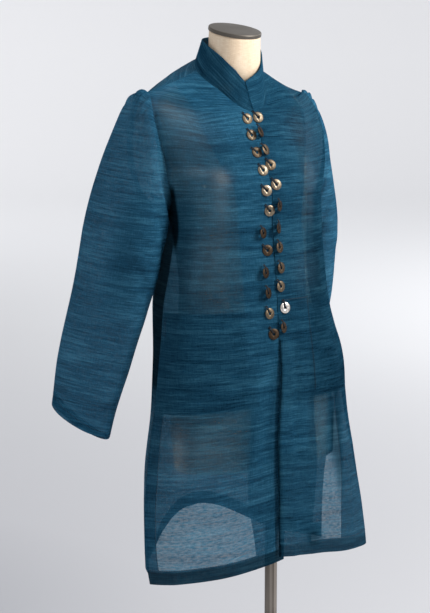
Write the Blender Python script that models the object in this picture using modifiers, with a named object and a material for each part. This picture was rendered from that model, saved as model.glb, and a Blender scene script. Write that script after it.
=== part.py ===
# Long coat of sheer slubbed silk, worn by a limbless linen dress form on a round base.
# Metres. The front faces -Y, the wearer's left is +X and +Z is up.
# The origin is on the floor, at the foot of the pole.

import bisect
import itertools
import math

import bmesh
import bpy
from mathutils import Matrix, Vector
from mathutils.bvhtree import BVHTree

# Cloth walls and the air between pieces
WALL = 0.0012            # panels and sleeves
COLLAR_WALL = 0.0022     # two layers of silk and a stiffener
INNER_WALL = 0.0008      # facings, turn-ups and pocket bags
GAP = 0.0004             # between layers that lie on each other
SEAM = 0.0002            # each piece stops this far short of its seam
COLLAR_SEAM = 0.0018     # between the neckline and the collar

# Heights of the coat
HEM = 0.467
SLIT_TOP = 0.800
POCKET_TOP = 0.990
ARMPIT = 1.205
NECK_FRONT = 1.371
NECK_BACK = 1.479

# Widths measured along the cloth
HEM_TURN_UP = 0.027
CUFF_TURN_UP = 0.017
SLIT_FACING = {"right": 0.023, "left": 0.058}
POCKET_SPREAD = {"right": 0.001, "left": 0.010}
LEFT_LIFT = 0.0041       # the left front lies this far over the right one

# Shares of the way up the armhole, from the side seam (0) to the shoulder seam (1)
NECK_SHARE = 0.70        # where the rows reach the neckline at the centre
SHOULDER_LIFT = {"right": 0.005, "left": -0.004}
SHOULDER_TURN = 104.0    # where the shoulder seam meets the neckline, round from the front

SHOULDER_SAG = 0.010     # pull on the middle of the shoulder seam
YOKE_RISE = {"front": 0.004, "back": 0.018}    # fullness of the rows before and behind it
CORNER_AT_NECK = {"front": 0.86, "back": 0.80}  # how square the rows turn there

# Discs
DISC_RADIUS = 0.0108
DISC_HOLE = 0.0024
DISC_SLOT = 0.0036
DISC_THICKNESS = 0.0010
DISC_CLEARANCE = 0.0004
DISC_STEPS = 16
HOLE_STEPS = 6
SEAT_RINGS = (0.2, 0.4, 0.6, 0.8, 1.0)    # shares of the radius that are laid on the cloth

# Dress form and stand
FORM_BOTTOM = 0.677
CAP_RADIUS = 0.0530
CAP_THICKNESS = 0.0075
CAP_TILT = math.radians(14.0)
CAP_EDGE = 0.003
REST = 0.0003            # air between hard pieces that touch
FORM_STEP = 0.030
POLE_RADIUS = 0.0125
SOCKET_PLATE = {"radius": 0.034, "thickness": 0.005, "tube": 0.0165, "height": 0.050}
BASE_RADIUS = 0.180
BASE_THICKNESS = 0.012
BASE_EDGE = 0.004
FOOT = {"radius": 0.028, "height": 0.040, "edge": 0.004}    # collar at the foot of the pole
SMALL_EDGE = 0.001       # bevel of a turned edge

# Mesh steps
FACING_COLUMNS = 3
MIDDLE_COLUMNS = 4
SLIT_COLUMNS = 2
BACK_COLUMNS = 9
SKIRT_ROWS = 6
POCKET_ROWS = 4
CHEST_ROWS = 5
ARMHOLE_ROWS = 6
SHOULDER_ROWS = 3
COLLAR_ROWS = 2
COLLAR_COLUMNS = 12      # each side of the centre back
CAP_ROWS = 8
ARM_ROWS = 8
SLEEVE_SEAM_ROW = 0.04   # share of a sleeve that its seam edge points towards
FORM_SIDES = 32


class Table:
    """Rows of sizes under named columns, read smoothly between the rows."""

    def __init__(self, columns, rows):
        self.keys = [row[0] for row in rows]
        self.columns = {name: [row[i] for row in rows] for i, name in enumerate(columns)}

    def slope(self, values, i):
        keys = self.keys
        if i == 0:
            return (values[1] - values[0]) / (keys[1] - keys[0])
        if i == len(keys) - 1:
            return (values[-1] - values[-2]) / (keys[-1] - keys[-2])
        before = keys[i] - keys[i - 1]
        after = keys[i + 1] - keys[i]
        fall = (values[i] - values[i - 1]) / before
        rise = (values[i + 1] - values[i]) / after
        return (fall * after + rise * before) / (before + after)

    def at(self, key, column):
        keys = self.keys
        values = self.columns[column]
        if key <= keys[0]:
            return values[0]
        if key >= keys[-1]:
            return values[-1]
        i = bisect.bisect_right(keys, key) - 1
        step = keys[i + 1] - keys[i]
        t = (key - keys[i]) / step
        start = self.slope(values, i) * step
        end = self.slope(values, i + 1) * step
        return (values[i] * (2 * t ** 3 - 3 * t ** 2 + 1) + start * (t ** 3 - 2 * t ** 2 + t)
                + values[i + 1] * (3 * t ** 2 - 2 * t ** 3) + end * (t ** 3 - t ** 2))


# Centre front, from the hem to the base of the neck. edge_left is where the left
# front's edge lies, across the middle, and edge_right the right front's edge under it.
CENTRE_FRONT = Table(
    ("height", "y", "edge_left", "edge_right"), (
        (0.470, -0.0500, -0.0225, -0.0060),
        (0.590, -0.0470, -0.0225, 0.0000),
        (0.670, -0.0460, -0.0235, 0.0020),
        (0.740, -0.0440, -0.0205, 0.0030),
        (0.820, -0.0400, -0.0140, 0.0040),
        (0.900, -0.0330, -0.0080, 0.0050),
        (0.970, -0.0240, -0.0045, 0.0050),
        (1.035, -0.0160, -0.0030, 0.0050),
        (1.100, -0.0090, -0.0030, 0.0050),
        (1.161, -0.0020, -0.0030, 0.0050),
        (1.224, 0.0005, -0.0030, 0.0050),
        (1.271, 0.0165, -0.0030, 0.0050),
        (1.318, 0.0350, -0.0040, 0.0040),
        (1.371, 0.0560, -0.0065, -0.0055)))

# Side edge of a front. corner is how square the front turns to the side.
FRONT_SIDE = Table(
    ("height", "x", "y", "corner"), (
        (0.467, 0.2705, 0.0360, 0.74),
        (0.505, 0.2725, 0.0440, 0.76),
        (0.595, 0.2665, 0.0575, 0.80),
        (0.676, 0.2540, 0.0640, 0.84),
        (0.740, 0.2422, 0.0690, 0.88),
        (0.818, 0.2290, 0.0700, 0.92),
        (0.878, 0.2180, 0.0760, 0.96),
        (0.937, 0.2045, 0.0860, 1.00),
        (1.008, 0.1920, 0.0950, 1.00),
        (1.063, 0.1836, 0.0900, 1.00),
        (1.103, 0.1786, 0.0870, 1.00),
        (1.161, 0.1755, 0.0830, 0.99),
        (1.205, 0.1760, 0.0900, 0.98)))

CENTRE_BACK = Table(
    ("height", "y"), (
        (0.470, 0.2620),
        (0.600, 0.2560),
        (0.740, 0.2500),
        (0.900, 0.2500),
        (1.060, 0.2540),
        (1.205, 0.2600),
        (1.280, 0.2620),
        (1.350, 0.2540),
        (1.420, 0.2340),
        (1.479, 0.2020)))

BACK_SIDE = Table(
    ("height", "x", "y", "corner"), (
        (0.467, 0.2190, 0.1120, 0.82),
        (0.540, 0.2215, 0.1140, 0.80),
        (0.618, 0.2260, 0.1120, 0.74),
        (0.680, 0.2305, 0.1030, 0.70),
        (0.740, 0.2320, 0.0890, 0.67),
        (0.800, 0.2300, 0.0750, 0.69),
        (0.878, 0.2180, 0.0760, 0.79),
        (0.937, 0.2045, 0.0860, 0.91),
        (1.008, 0.1920, 0.0950, 1.00),
        (1.063, 0.1836, 0.0900, 0.98),
        (1.103, 0.1786, 0.0870, 0.95),
        (1.161, 0.1755, 0.0830, 0.90),
        (1.205, 0.1760, 0.0900, 0.88)))

# Armhole, front and back, from the side seam up to the shoulder seam
ARMHOLE_COLUMNS = ("share", "x", "y", "height")
ARMHOLE_FRONT = Table(ARMHOLE_COLUMNS, (
    (0.00, 0.1760, 0.0900, 1.205),
    (0.10, 0.1820, 0.0875, 1.230),
    (0.20, 0.1875, 0.0872, 1.253),
    (0.35, 0.1935, 0.0895, 1.288),
    (0.50, 0.1985, 0.0985, 1.326),
    (0.65, 0.1995, 0.1120, 1.358),
    (0.80, 0.1965, 0.1270, 1.385),
    (0.90, 0.1930, 0.1390, 1.400),
    (1.00, 0.1890, 0.1530, 1.407)))
ARMHOLE_BACK = Table(ARMHOLE_COLUMNS, (
    (0.00, 0.1760, 0.0900, 1.205),
    (0.10, 0.1790, 0.1150, 1.196),
    (0.20, 0.1830, 0.1450, 1.197),
    (0.35, 0.1890, 0.1780, 1.222),
    (0.50, 0.1930, 0.1970, 1.265),
    (0.65, 0.1950, 0.2020, 1.315),
    (0.80, 0.1950, 0.1910, 1.360),
    (0.90, 0.1930, 0.1750, 1.390),
    (1.00, 0.1890, 0.1530, 1.407)))

# Neckline and the collar's top edge, round from the centre front
NECKLINE = Table(
    ("turn", "x", "y", "height"), (
        (0.0, 0.0000, 0.0560, 1.371),
        (30.0, 0.0300, 0.0725, 1.384),
        (60.0, 0.0540, 0.0990, 1.411),
        (90.0, 0.0755, 0.1370, 1.441),
        (120.0, 0.0690, 0.1700, 1.463),
        (150.0, 0.0400, 0.1940, 1.475),
        (180.0, 0.0000, 0.2020, 1.479)))
COLLAR_TOP = Table(
    ("turn", "x", "y", "height"), (
        (0.0, 0.0000, 0.0745, 1.430),
        (30.0, 0.0290, 0.0850, 1.452),
        (60.0, 0.0510, 0.1060, 1.479),
        (90.0, 0.0610, 0.1350, 1.499),
        (120.0, 0.0540, 0.1650, 1.511),
        (150.0, 0.0300, 0.1790, 1.515),
        (180.0, 0.0000, 0.1850, 1.517)))
COLLAR_CROSS = (0.0060, 0.0135)    # how far its ends meet across the middle, at base and top
FRONT_TURN = 30.0                  # where an end starts to move across, round from the front

# Edge of the front facing, measured across from the centre front
FACING_EDGE = Table(
    ("height", "x"), (
        (0.470, 0.078),
        (1.100, 0.076),
        (1.200, 0.079),
        (1.250, 0.090),
        (1.300, 0.112),
        (1.350, 0.128),
        (1.410, 0.132)))

# Sleeve, left one; the middle of each section and its half sizes
SLEEVE = Table(
    ("height", "x", "y", "front_back", "side"), (
        (0.758, 0.2865, 0.2600, 0.0731, 0.016),
        (0.837, 0.2790, 0.2430, 0.0776, 0.022),
        (0.893, 0.2712, 0.2300, 0.0817, 0.028),
        (0.950, 0.2610, 0.2165, 0.0851, 0.034),
        (1.008, 0.2510, 0.2000, 0.0881, 0.041),
        (1.067, 0.2400, 0.1890, 0.0909, 0.048),
        (1.140, 0.2290, 0.1790, 0.0930, 0.054)))
SLEEVE_TURN = 20.0       # how far a section's front edge is swung towards the body
SLEEVE_TOP = 1.140       # lowest full section under the arm
CUFF_HEIGHT = 0.758
LEFT_SLEEVE_IN = 0.004   # the left sleeve hangs this much closer

# Linen form: half width, middle, and depth in front of and behind the middle.
# power 2 is an ellipse and 1 a diamond; tilt lowers the front of a section.
FORM = Table(
    ("height", "half_width", "middle", "front", "back", "power", "tilt"), (
        (0.677, 0.1850, 0.0520, 0.0860, 0.1000, 2.15, 0.00),
        (0.740, 0.1890, 0.0560, 0.0880, 0.1050, 2.10, 0.00),
        (0.820, 0.1850, 0.0630, 0.0920, 0.1080, 2.05, 0.00),
        (0.900, 0.1700, 0.0730, 0.0950, 0.1060, 2.00, 0.00),
        (0.970, 0.1520, 0.0850, 0.0980, 0.1000, 2.00, 0.00),
        (1.035, 0.1430, 0.0960, 0.1010, 0.0980, 2.00, 0.00),
        (1.100, 0.1450, 0.1040, 0.1020, 0.1040, 2.00, 0.00),
        (1.161, 0.1520, 0.1110, 0.1010, 0.1120, 2.00, 0.00),
        (1.205, 0.1580, 0.1180, 0.1050, 0.1180, 2.00, 0.00),
        (1.250, 0.1620, 0.1250, 0.1060, 0.1180, 2.00, 0.00),
        (1.300, 0.1680, 0.1330, 0.0930, 0.1100, 1.95, 0.00),
        (1.345, 0.1740, 0.1400, 0.0780, 0.0940, 1.80, 0.00),
        (1.383, 0.1720, 0.1450, 0.0640, 0.0790, 1.60, 0.02),
        (1.4010, 0.1600, 0.1490, 0.0560, 0.0670, 1.50, 0.05),
        (1.4150, 0.1280, 0.1500, 0.0500, 0.0590, 1.45, 0.09),
        (1.4260, 0.0930, 0.1490, 0.0470, 0.0500, 1.55, 0.14),
        (1.441, 0.0650, 0.1430, 0.0510, 0.0470, 1.80, 0.19),
        (1.470, 0.0550, 0.1335, 0.0515, 0.0480, 2.00, 0.24),
        (1.524, 0.0515, 0.1290, 0.0505, 0.0490, 2.00, 0.25)))

# Disc pairs from the top down: the height of each, how far each lies from the centre front,
# how it is turned about the vertical, and how its slot leans towards the wearer's right, in degrees.
DISC_COLUMNS = ("height_right", "height_left", "x_right", "x_left", "turn_right", "turn_left",
                "lean_right", "lean_left")
DISC_ROWS = (
    (1.3600, 1.3620, -0.0260, -0.0010, -4, -10, 34, 38),
    (1.3290, 1.3350, -0.0245, -0.0060, -2, 32, 30, 12),
    (1.2960, 1.3010, -0.0205, -0.0025, -4, 22, 48, 36),
    (1.2620, 1.2715, -0.0165, 0.0030, -10, -14, 30, 34),
    (1.2235, 1.2340, -0.0175, 0.0065, -14, -12, 42, 32),
    (1.1840, 1.1925, -0.0110, 0.0090, -12, 30, 38, 20),
    (1.1425, 1.1500, -0.0285, 0.0055, 22, 34, 24, -8),
    (1.1080, 1.1125, -0.0195, 0.0070, -12, 18, 40, 14),
    (1.0660, 1.0725, -0.0290, 0.0080, 20, 16, 12, 20),
    (1.0265, 1.0365, -0.0265, 0.0050, 24, 10, 20, 30),
    (0.9860, 0.9945, -0.0240, 0.0115, 2, -8, 26, 12),
    (0.9460, 0.9575, -0.0195, 0.0030, -16, 24, 30, 14))


def side_sign(side):
    return 1.0 if side == "left" else -1.0


def smooth(value):
    value = min(1.0, max(0.0, value))
    return value * value * (3.0 - 2.0 * value)


def ramp(value, start, end):
    """Rises smoothly from 0 at start to 1 at end."""
    return smooth((value - start) / (end - start))


# Where a shoulder's own lift comes in, out from the middle and up from the chest
LIFT_OUT = (0.07, 0.17)
LIFT_UP = (1.25, 1.37)


def settled(point, side):
    """A point of the left half, put on its own side with that shoulder's height."""
    lift = SHOULDER_LIFT[side] * ramp(point.x, *LIFT_OUT) * ramp(point.z, *LIFT_UP)
    return Vector((point.x * side_sign(side), point.y, point.z + lift))


def mix(a, b, share):
    return a + (b - a) * share


def arc(start, corner, end, fullness, s):
    """A quarter turn from start to end, pulled towards the corner between them."""
    w0 = (1 - s) * (1 - s)
    w1 = 2 * fullness * s * (1 - s)
    w2 = s * s
    return (start * w0 + corner * w1 + end * w2) / (w0 + w1 + w2)


def table_point(table, key):
    return Vector((table.at(key, "x"), table.at(key, "y"), table.at(key, "height")))


def neck_point(turn):
    return table_point(NECKLINE, turn)


FULLNESS = math.sqrt(0.5)    # makes an arc a quarter of an ellipse


def body_level(height):
    return (height - HEM) / (ARMPIT - HEM)


def yoke_corner(start, end, corner_share, share, rise):
    """Corner point of a row that starts on the neckline. It is square at share 0
    and lies close to the straight shoulder seam at share 1."""
    square = Vector((end.x * corner_share, start.y, mix(start.z, end.z, 0.4)))
    middle = start.lerp(end, 0.5) - Vector((0.0, 0.0, SHOULDER_SAG))
    bulge = Vector((0.0, 0.0, rise * math.sin(math.pi * share)))
    return square.lerp(middle, smooth(share)) + bulge


def front_controls(level, side):
    """Centre, corner and side points of a front's row. Level 0 is the hem, 1 the armpit, 2 the shoulder."""
    edge = "edge_left" if side == "left" else "edge_right"
    if level <= 1.0:
        height = mix(HEM, ARMPIT, level)
        x_side = FRONT_SIDE.at(height, "x")
        end = Vector((x_side, FRONT_SIDE.at(height, "y"), height))
        corner_share = FRONT_SIDE.at(height, "corner")
    else:
        share = level - 1.0
        end = table_point(ARMHOLE_FRONT, share)
        height = mix(ARMPIT, NECK_FRONT, min(1.0, share / NECK_SHARE))
        corner_share = mix(FRONT_SIDE.at(ARMPIT, "corner"), CORNER_AT_NECK["front"],
                           smooth(share / NECK_SHARE))
    edge_x = CENTRE_FRONT.at(height, edge) * side_sign(side)
    start = Vector((edge_x, CENTRE_FRONT.at(height, "y"), height))
    corner = Vector((end.x * corner_share, start.y, mix(start.z, end.z, 0.5)))
    above_neck = level - 1.0 - NECK_SHARE
    if above_neck > 0.0:
        share = above_neck / (1.0 - NECK_SHARE)
        turn = SHOULDER_TURN * share
        start = neck_point(turn)
        start.x += edge_x * max(0.0, 1.0 - turn / FRONT_TURN)
        corner = yoke_corner(start, end, corner_share, share, YOKE_RISE["front"])
    return start, corner, end


def back_controls(level):
    if level <= 1.0:
        height = mix(HEM, ARMPIT, level)
        end = Vector((BACK_SIDE.at(height, "x"), BACK_SIDE.at(height, "y"), height))
        corner_share = BACK_SIDE.at(height, "corner")
    else:
        share = level - 1.0
        end = table_point(ARMHOLE_BACK, share)
        height = mix(ARMPIT, NECK_BACK, min(1.0, share / NECK_SHARE))
        corner_share = mix(BACK_SIDE.at(ARMPIT, "corner"), CORNER_AT_NECK["back"],
                           smooth(share / NECK_SHARE))
    start = Vector((0.0, CENTRE_BACK.at(height, "y"), height))
    corner = Vector((end.x * corner_share, start.y, mix(start.z, end.z, 0.5)))
    above_neck = level - 1.0 - NECK_SHARE
    if above_neck > 0.0:
        share = above_neck / (1.0 - NECK_SHARE)
        start = neck_point(mix(180.0, SHOULDER_TURN, share))
        corner = yoke_corner(start, end, corner_share, share, YOKE_RISE["back"])
    return start, corner, end


ROW_SAMPLES = 40         # points that a row is worked out at
HANG_END = 0.95          # level above which the weft lies level
FRONT_FOLD_END = 0.62    # levels where the skirt's folds run out
BACK_FOLD_END = 0.85
FOLD_EDGE = {"front": (0.20, 0.20), "back": (0.125, 0.165)}    # shares left flat at the centre and side
BACK_HEM_SPREAD = 1.35   # the back hem's lift ends before the sides
BACK_HEM_RISE = 0.065    # how far the back hem is lifted at the centre
BACK_HEM_DROP = 0.009    # how far its corners hang below the fronts


# How a front's hem hangs: its rise towards the centre front, how fast that comes,
# how far its side corner drops below the hem's height, and how far it flares out there
FRONT_HEM = {"right": {"rise": 0.027, "power": 2.0, "drop": -0.002, "flare": -0.004},
             "left": {"rise": 0.036, "power": 1.0, "drop": 0.014, "flare": 0.009}}


def hang_front(point, level, share, side):
    """The weft hangs lower towards the side seams, most at the hem."""
    hem = FRONT_HEM[side]
    low = 1.0 - ramp(level, 0.0, HANG_END)
    skirt = 1.0 - ramp(level, 0.0, body_level(SLIT_TOP))
    point.z += hem["rise"] * low * (1.0 - share) ** hem["power"] - hem["drop"] * skirt * share
    point.x += hem["flare"] * skirt * share ** 2
    point.y -= skirt_wave(level, share, side)


def lengths_along(points):
    lengths = [0.0]
    for a, b in zip(points, points[1:]):
        lengths.append(lengths[-1] + (b - a).length)
    return lengths


def at_lengths(points, goals):
    """Points of the path at the given lengths along it, goals rising."""
    lengths = lengths_along(points)
    result = []
    i = 0
    for goal in goals:
        while i < len(points) - 2 and lengths[i + 1] < goal:
            i += 1
        share = (goal - lengths[i]) / (lengths[i + 1] - lengths[i])
        result.append(points[i].lerp(points[i + 1], share))
    return result


def steps(start, end, count):
    return [mix(start, end, k / count) for k in range(count)]


def curve_points(controls):
    return [arc(*controls, FULLNESS, k / ROW_SAMPLES) for k in range(ROW_SAMPLES + 1)]


def front_columns(points, side):
    """Lengths along a front's row: under the facing, then to the slit facing, then to the seam."""
    lengths = lengths_along(points)
    whole = lengths[-1]
    edge = 0.0
    for point, length in zip(points, lengths):
        if point.x < FACING_EDGE.at(point.z, "x"):
            edge = length
    slit = whole - min(SLIT_FACING[side], (whole - edge) * 0.35)
    return (steps(0.0, edge, FACING_COLUMNS) + steps(edge, slit, MIDDLE_COLUMNS)
            + steps(slit, whole, SLIT_COLUMNS) + [whole])


def front_row(level, side):
    path = curve_points(front_controls(level, side))
    goals = front_columns(path, side)
    points = at_lengths(path, goals)
    for goal, point in zip(goals, points):
        hang_front(point, level, goal / goals[-1], side)
    return points


def back_row(level, side):
    path = curve_points(back_controls(level))
    whole = lengths_along(path)[-1]
    points = at_lengths(path, steps(0.0, whole, BACK_COLUMNS) + [whole])
    low = 1.0 - ramp(level, 0.0, body_level(SLIT_TOP))
    for k, point in enumerate(points):
        share = k / BACK_COLUMNS
        rise = math.cos(math.pi / 2 * min(1.0, share * BACK_HEM_SPREAD)) ** 2
        point.z += low * (BACK_HEM_RISE * rise - BACK_HEM_DROP * share)
        point.y += back_wave(level, share, side)
    return points


# Soft folds of the skirt, each with its place across the panel (a share), depth and
# half width (a share)
FRONT_FOLDS = {"right": ((0.45, 0.0020, 0.16), (0.85, 0.0030, 0.10)),
               "left": ((0.42, -0.0040, 0.10), (0.62, 0.0035, 0.12))}
BACK_FOLDS = {"right": ((0.18, 0.0050, 0.16), (0.58, -0.0060, 0.14)),
              "left": ((0.28, 0.0045, 0.15), (0.66, -0.0055, 0.15))}


def fold_sum(folds, share):
    return sum(depth * math.exp(-((share - place) / spread) ** 2) for place, depth, spread in folds)


def edge_flat(part, share):
    centre, side = FOLD_EDGE[part]
    return ramp(share, 0.0, centre) * (1.0 - ramp(share, 1.0 - side, 1.0))


def skirt_wave(level, share, side):
    """Soft vertical folds that open towards the hem, flat at both edges."""
    open_share = 1.0 - ramp(level, 0.0, FRONT_FOLD_END)
    return fold_sum(FRONT_FOLDS[side], share) * open_share * edge_flat("front", share)


def back_wave(level, share, side):
    open_share = 1.0 - ramp(level, 0.0, BACK_FOLD_END)
    return fold_sum(BACK_FOLDS[side], share) * open_share * edge_flat("back", share)


YOKE_LAST = 1.96         # last row before the shoulder seam
HEM_ROW = 1              # top of the hem turn-up
SLIT_ROW = HEM_ROW + SKIRT_ROWS
POCKET_ROW = SLIT_ROW + POCKET_ROWS
NECK_ROW = POCKET_ROW + CHEST_ROWS + ARMHOLE_ROWS


def levels():
    """Rows of the body panels, from the hem to the shoulder seam."""
    marks = [body_level(height) for height in (HEM + HEM_TURN_UP, SLIT_TOP, POCKET_TOP)]
    rows = [0.0]
    rows += steps(marks[0], marks[1], SKIRT_ROWS)
    rows += steps(marks[1], marks[2], POCKET_ROWS)
    rows += steps(marks[2], 1.0, CHEST_ROWS)
    rows += steps(1.0, 1.0 + NECK_SHARE, ARMHOLE_ROWS)
    rows += steps(1.0 + NECK_SHARE, 2.0, SHOULDER_ROWS)
    return rows + [YOKE_LAST, 2.0]


def pocket_mouth(level):
    """1 where the pocket's mouth is widest in the side seam, 0 beyond its ends."""
    share = (mix(HEM, ARMPIT, level) - SLIT_TOP) / (POCKET_TOP - SLIT_TOP)
    return math.sin(math.pi * share) ** 0.7 if 0.0 < share < 1.0 else 0.0


def towards(point, other, amount):
    return point + (other - point).normalized() * amount


def front_surface(side):
    """Grid of a front's outer face, rows from the hem up, columns from the centre out."""
    grid = []
    for level in levels():
        row = front_row(level, side)
        spread = POCKET_SPREAD[side] * pocket_mouth(level)
        for k, share in ((-1, 1.0), (-2, 0.5)):
            row[k] += Vector((spread, -spread * 0.5, 0.0)) * share
        row[-1] = towards(row[-1], row[-2], SEAM)
        grid.append(row)
    grid[-1] = [towards(a, b, SEAM) for a, b in zip(grid[-1], grid[-2])]
    if side == "left":
        for row in grid:
            for point in row:
                lift_left(point)
    return [[settled(point, side) for point in row] for row in grid]


LIFT_ACROSS = (0.010, 0.040)


def lift_left(point):
    """The left front's edge lies over the right front, and comes down beyond it."""
    point.y -= LEFT_LIFT * (1.0 - ramp(point.x, *LIFT_ACROSS))


def back_surface():
    """Grids of the back's outer face, a half each, columns from the centre out."""
    halves = {}
    for side in ("right", "left"):
        grid = []
        for level in levels():
            row = back_row(level, side)
            row[-1] = towards(row[-1], row[-2], SEAM)
            grid.append(row)
        grid[-1] = [towards(a, b, SEAM) for a, b in zip(grid[-1], grid[-2])]
        halves[side] = [[settled(point, side) for point in row] for row in grid]
    return halves


def collar_surface():
    """Grid of the collar's outer face, from its right end round the back to its left one."""
    stations = [("right", turn) for turn in steps(0.0, 180.0, COLLAR_COLUMNS)]
    stations += [("left", turn) for turn in steps(180.0, 0.0, COLLAR_COLUMNS) + [0.0]]
    grid = []
    for k in range(COLLAR_ROWS + 1):
        row = []
        for side, turn in stations:
            low = table_point(NECKLINE, turn)
            high = table_point(COLLAR_TOP, turn)
            share = k / COLLAR_ROWS
            point = towards(low, high, COLLAR_SEAM).lerp(high, share)
            cross = mix(*COLLAR_CROSS, share) * max(0.0, 1.0 - turn / FRONT_TURN)
            point.x -= cross * side_sign(side)
            if turn == 0.0:
                point.x += SEAM
            if side == "left":
                lift_left(point)
            row.append(Vector((point.x * side_sign(side), point.y, point.z)))
        grid.append(row)
    return grid


# Sleeves

CAP_SHARE = 0.4          # share of the sleeve's rows above its first full section
# How far the cuff's back edge is lifted and its front edge dropped, how far its outer side is
# lifted and its inner side dropped, and how far both sides sag between the edges
CUFF_SLANT = {"edges": 0.015, "sides": 0.008, "sag": 0.022}
ARM_CENTRE = Vector((0.19, 0.147, 1.30))
SIDE_SEAM_TURN = -149.0  # the side seam meets the armhole low in front
HEAD_LEAN = 0.070        # the sleeve head sets off backwards
SLEEVE_TWIST = 18.0      # the inner side of a section lies this far round to the front
SLEEVE_IN_SHARES = (0.6, 0.9)    # where the left sleeve comes closer

# How the sleeve head leaves the armhole, at its top, under the arm and behind
HEAD_OUT = {"under": 0.30, "top": 1.00}
HEAD_DOWN = 0.35
HEAD_SPREAD = {"all": 0.22, "behind": 0.30}
HEAD_REACH = {"under": 0.75, "top": 0.40, "behind": 0.15}
HEAD_ARRIVE = {"under": 0.9, "top": 1.0}


def armhole_point(turn):
    """Round the armhole: 0 at the shoulder seam, negative in front, down to the side seam."""
    if SIDE_SEAM_TURN < turn < 0.0:
        return table_point(ARMHOLE_FRONT, 1.0 - turn / SIDE_SEAM_TURN)
    return table_point(ARMHOLE_BACK, 1.0 - turn % 360.0 / (360.0 + SIDE_SEAM_TURN))


def sleeve_turns():
    """A turn for each row end of the front, up to the shoulder seam, then down the back."""
    shares = [level - 1.0 for level in levels() if level >= 1.0]
    front = [SIDE_SEAM_TURN * (1.0 - share) for share in shares]
    back = [(360.0 + SIDE_SEAM_TURN) * (1.0 - share) for share in shares[1:-1]]
    return front + back[::-1]


def sleeve_middle(height):
    return Vector((SLEEVE.at(height, "x"), SLEEVE.at(height, "y"), height))


def sleeve_section_point(height, turn):
    """A point of the sleeve's section: turn 0 is its outer side and -90 its front edge."""
    middle = sleeve_middle(height)
    axis = (sleeve_middle(height + 0.01) - sleeve_middle(height - 0.01)).normalized()
    swing = math.radians(SLEEVE_TURN)
    outward = Vector((math.cos(swing), -math.sin(swing), 0.0))
    backward = Vector((math.sin(swing), math.cos(swing), 0.0))
    outward = (outward - axis * outward.dot(axis)).normalized()
    backward = (backward - axis * backward.dot(axis) - outward * backward.dot(outward)).normalized()
    angle = math.radians(turn + SLEEVE_TWIST * math.sin(math.radians(turn / 2.0)) ** 2)
    low = smooth((SLEEVE_TOP - height) / (SLEEVE_TOP - CUFF_HEIGHT))
    slant = (CUFF_SLANT["edges"] * math.sin(angle) + CUFF_SLANT["sides"] * math.cos(angle)
             - CUFF_SLANT["sag"] * abs(math.cos(angle)))
    return (middle + outward * (SLEEVE.at(height, "side") * math.cos(angle))
            + backward * (SLEEVE.at(height, "front_back") * math.sin(angle))
            + Vector((0.0, 0.0, slant * low)))


def hermite(start, leave, end, arrive, t):
    return (start * (2 * t ** 3 - 3 * t ** 2 + 1) + leave * (t ** 3 - 2 * t ** 2 + t)
            + end * (3 * t ** 2 - 2 * t ** 3) + arrive * (t ** 3 - t ** 2))


def cap_point(turn, share):
    """From the armhole (0) over the gathered head to the first full section (1)."""
    start = armhole_point(turn)
    end = sleeve_section_point(SLEEVE_TOP, turn)
    top = math.cos(math.radians(turn / 2.0)) ** 2
    reach = (end - start).length
    radial = Vector((0.0, start.y - ARM_CENTRE.y, start.z - ARM_CENTRE.z)).normalized()
    back = math.sin(math.radians(turn)) if 0.0 < turn < 180.0 else 0.0
    leave = Vector((mix(HEAD_OUT["under"], HEAD_OUT["top"], top), 0.0, -HEAD_DOWN * (1.0 - top)))
    leave += radial * (HEAD_SPREAD["all"] + HEAD_SPREAD["behind"] * back)
    leave = leave.normalized() * reach
    leave *= mix(HEAD_REACH["under"], HEAD_REACH["top"], top) + HEAD_REACH["behind"] * back
    leave.y += HEAD_LEAN * top
    arrive = (sleeve_middle(SLEEVE_TOP - 0.02) - sleeve_middle(SLEEVE_TOP)).normalized()
    arrive = arrive * reach * mix(HEAD_ARRIVE["under"], HEAD_ARRIVE["top"], top)
    return hermite(start, leave, end, arrive, share)


def sleeve_point(turn, share):
    """share 0 is the armhole, CAP_SHARE the first full section and 1 the cuff."""
    if share <= CAP_SHARE:
        return cap_point(turn, share / CAP_SHARE)
    height = mix(SLEEVE_TOP, CUFF_HEIGHT, (share - CAP_SHARE) / (1.0 - CAP_SHARE))
    return sleeve_section_point(height, turn)


def sleeve_shares():
    """Rows of a sleeve, with one at the top of the cuff turn-up."""
    turn_up = CUFF_TURN_UP / (SLEEVE_TOP - CUFF_HEIGHT) * (1.0 - CAP_SHARE)
    return (steps(0.0, CAP_SHARE, CAP_ROWS) + steps(CAP_SHARE, 1.0 - turn_up, ARM_ROWS)
            + [1.0 - turn_up, 1.0])


def sleeve_surface(side):
    """Grid of a sleeve's outer face, rows from the armhole down, each a ring."""
    grid = []
    for share in sleeve_shares():
        ring = []
        for turn in sleeve_turns():
            point = sleeve_point(turn, share)
            if share == 0.0:
                point = towards(point, sleeve_point(turn, SLEEVE_SEAM_ROW), SEAM)
            if side == "left":
                point.x -= LEFT_SLEEVE_IN * ramp(share, *SLEEVE_IN_SHARES)
            ring.append(settled(point, side))
        grid.append(ring)
    return grid


# Making meshes

EDGE_BEVEL = 0.0009      # the inner face of a wall is this much shorter at each edge


def material(name, colour, roughness, metallic=0.0):
    result = bpy.data.materials.new(name)
    result.use_nodes = True
    shader = result.node_tree.nodes["Principled BSDF"]
    shader.inputs["Base Color"].default_value = (*colour, 1.0)
    shader.inputs["Roughness"].default_value = roughness
    shader.inputs["Metallic"].default_value = metallic
    return result


def finish_mesh(name, bm, finish, collection):
    mesh = bpy.data.meshes.new(name)
    bmesh.ops.recalc_face_normals(bm, faces=bm.faces)
    bm.to_mesh(mesh)
    bm.free()
    mesh.materials.append(finish)
    mesh.shade_smooth()
    mesh.set_sharp_from_angle(angle=math.radians(40.0))
    obj = bpy.data.objects.new(name, mesh)
    collection.objects.link(obj)
    return obj


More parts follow.
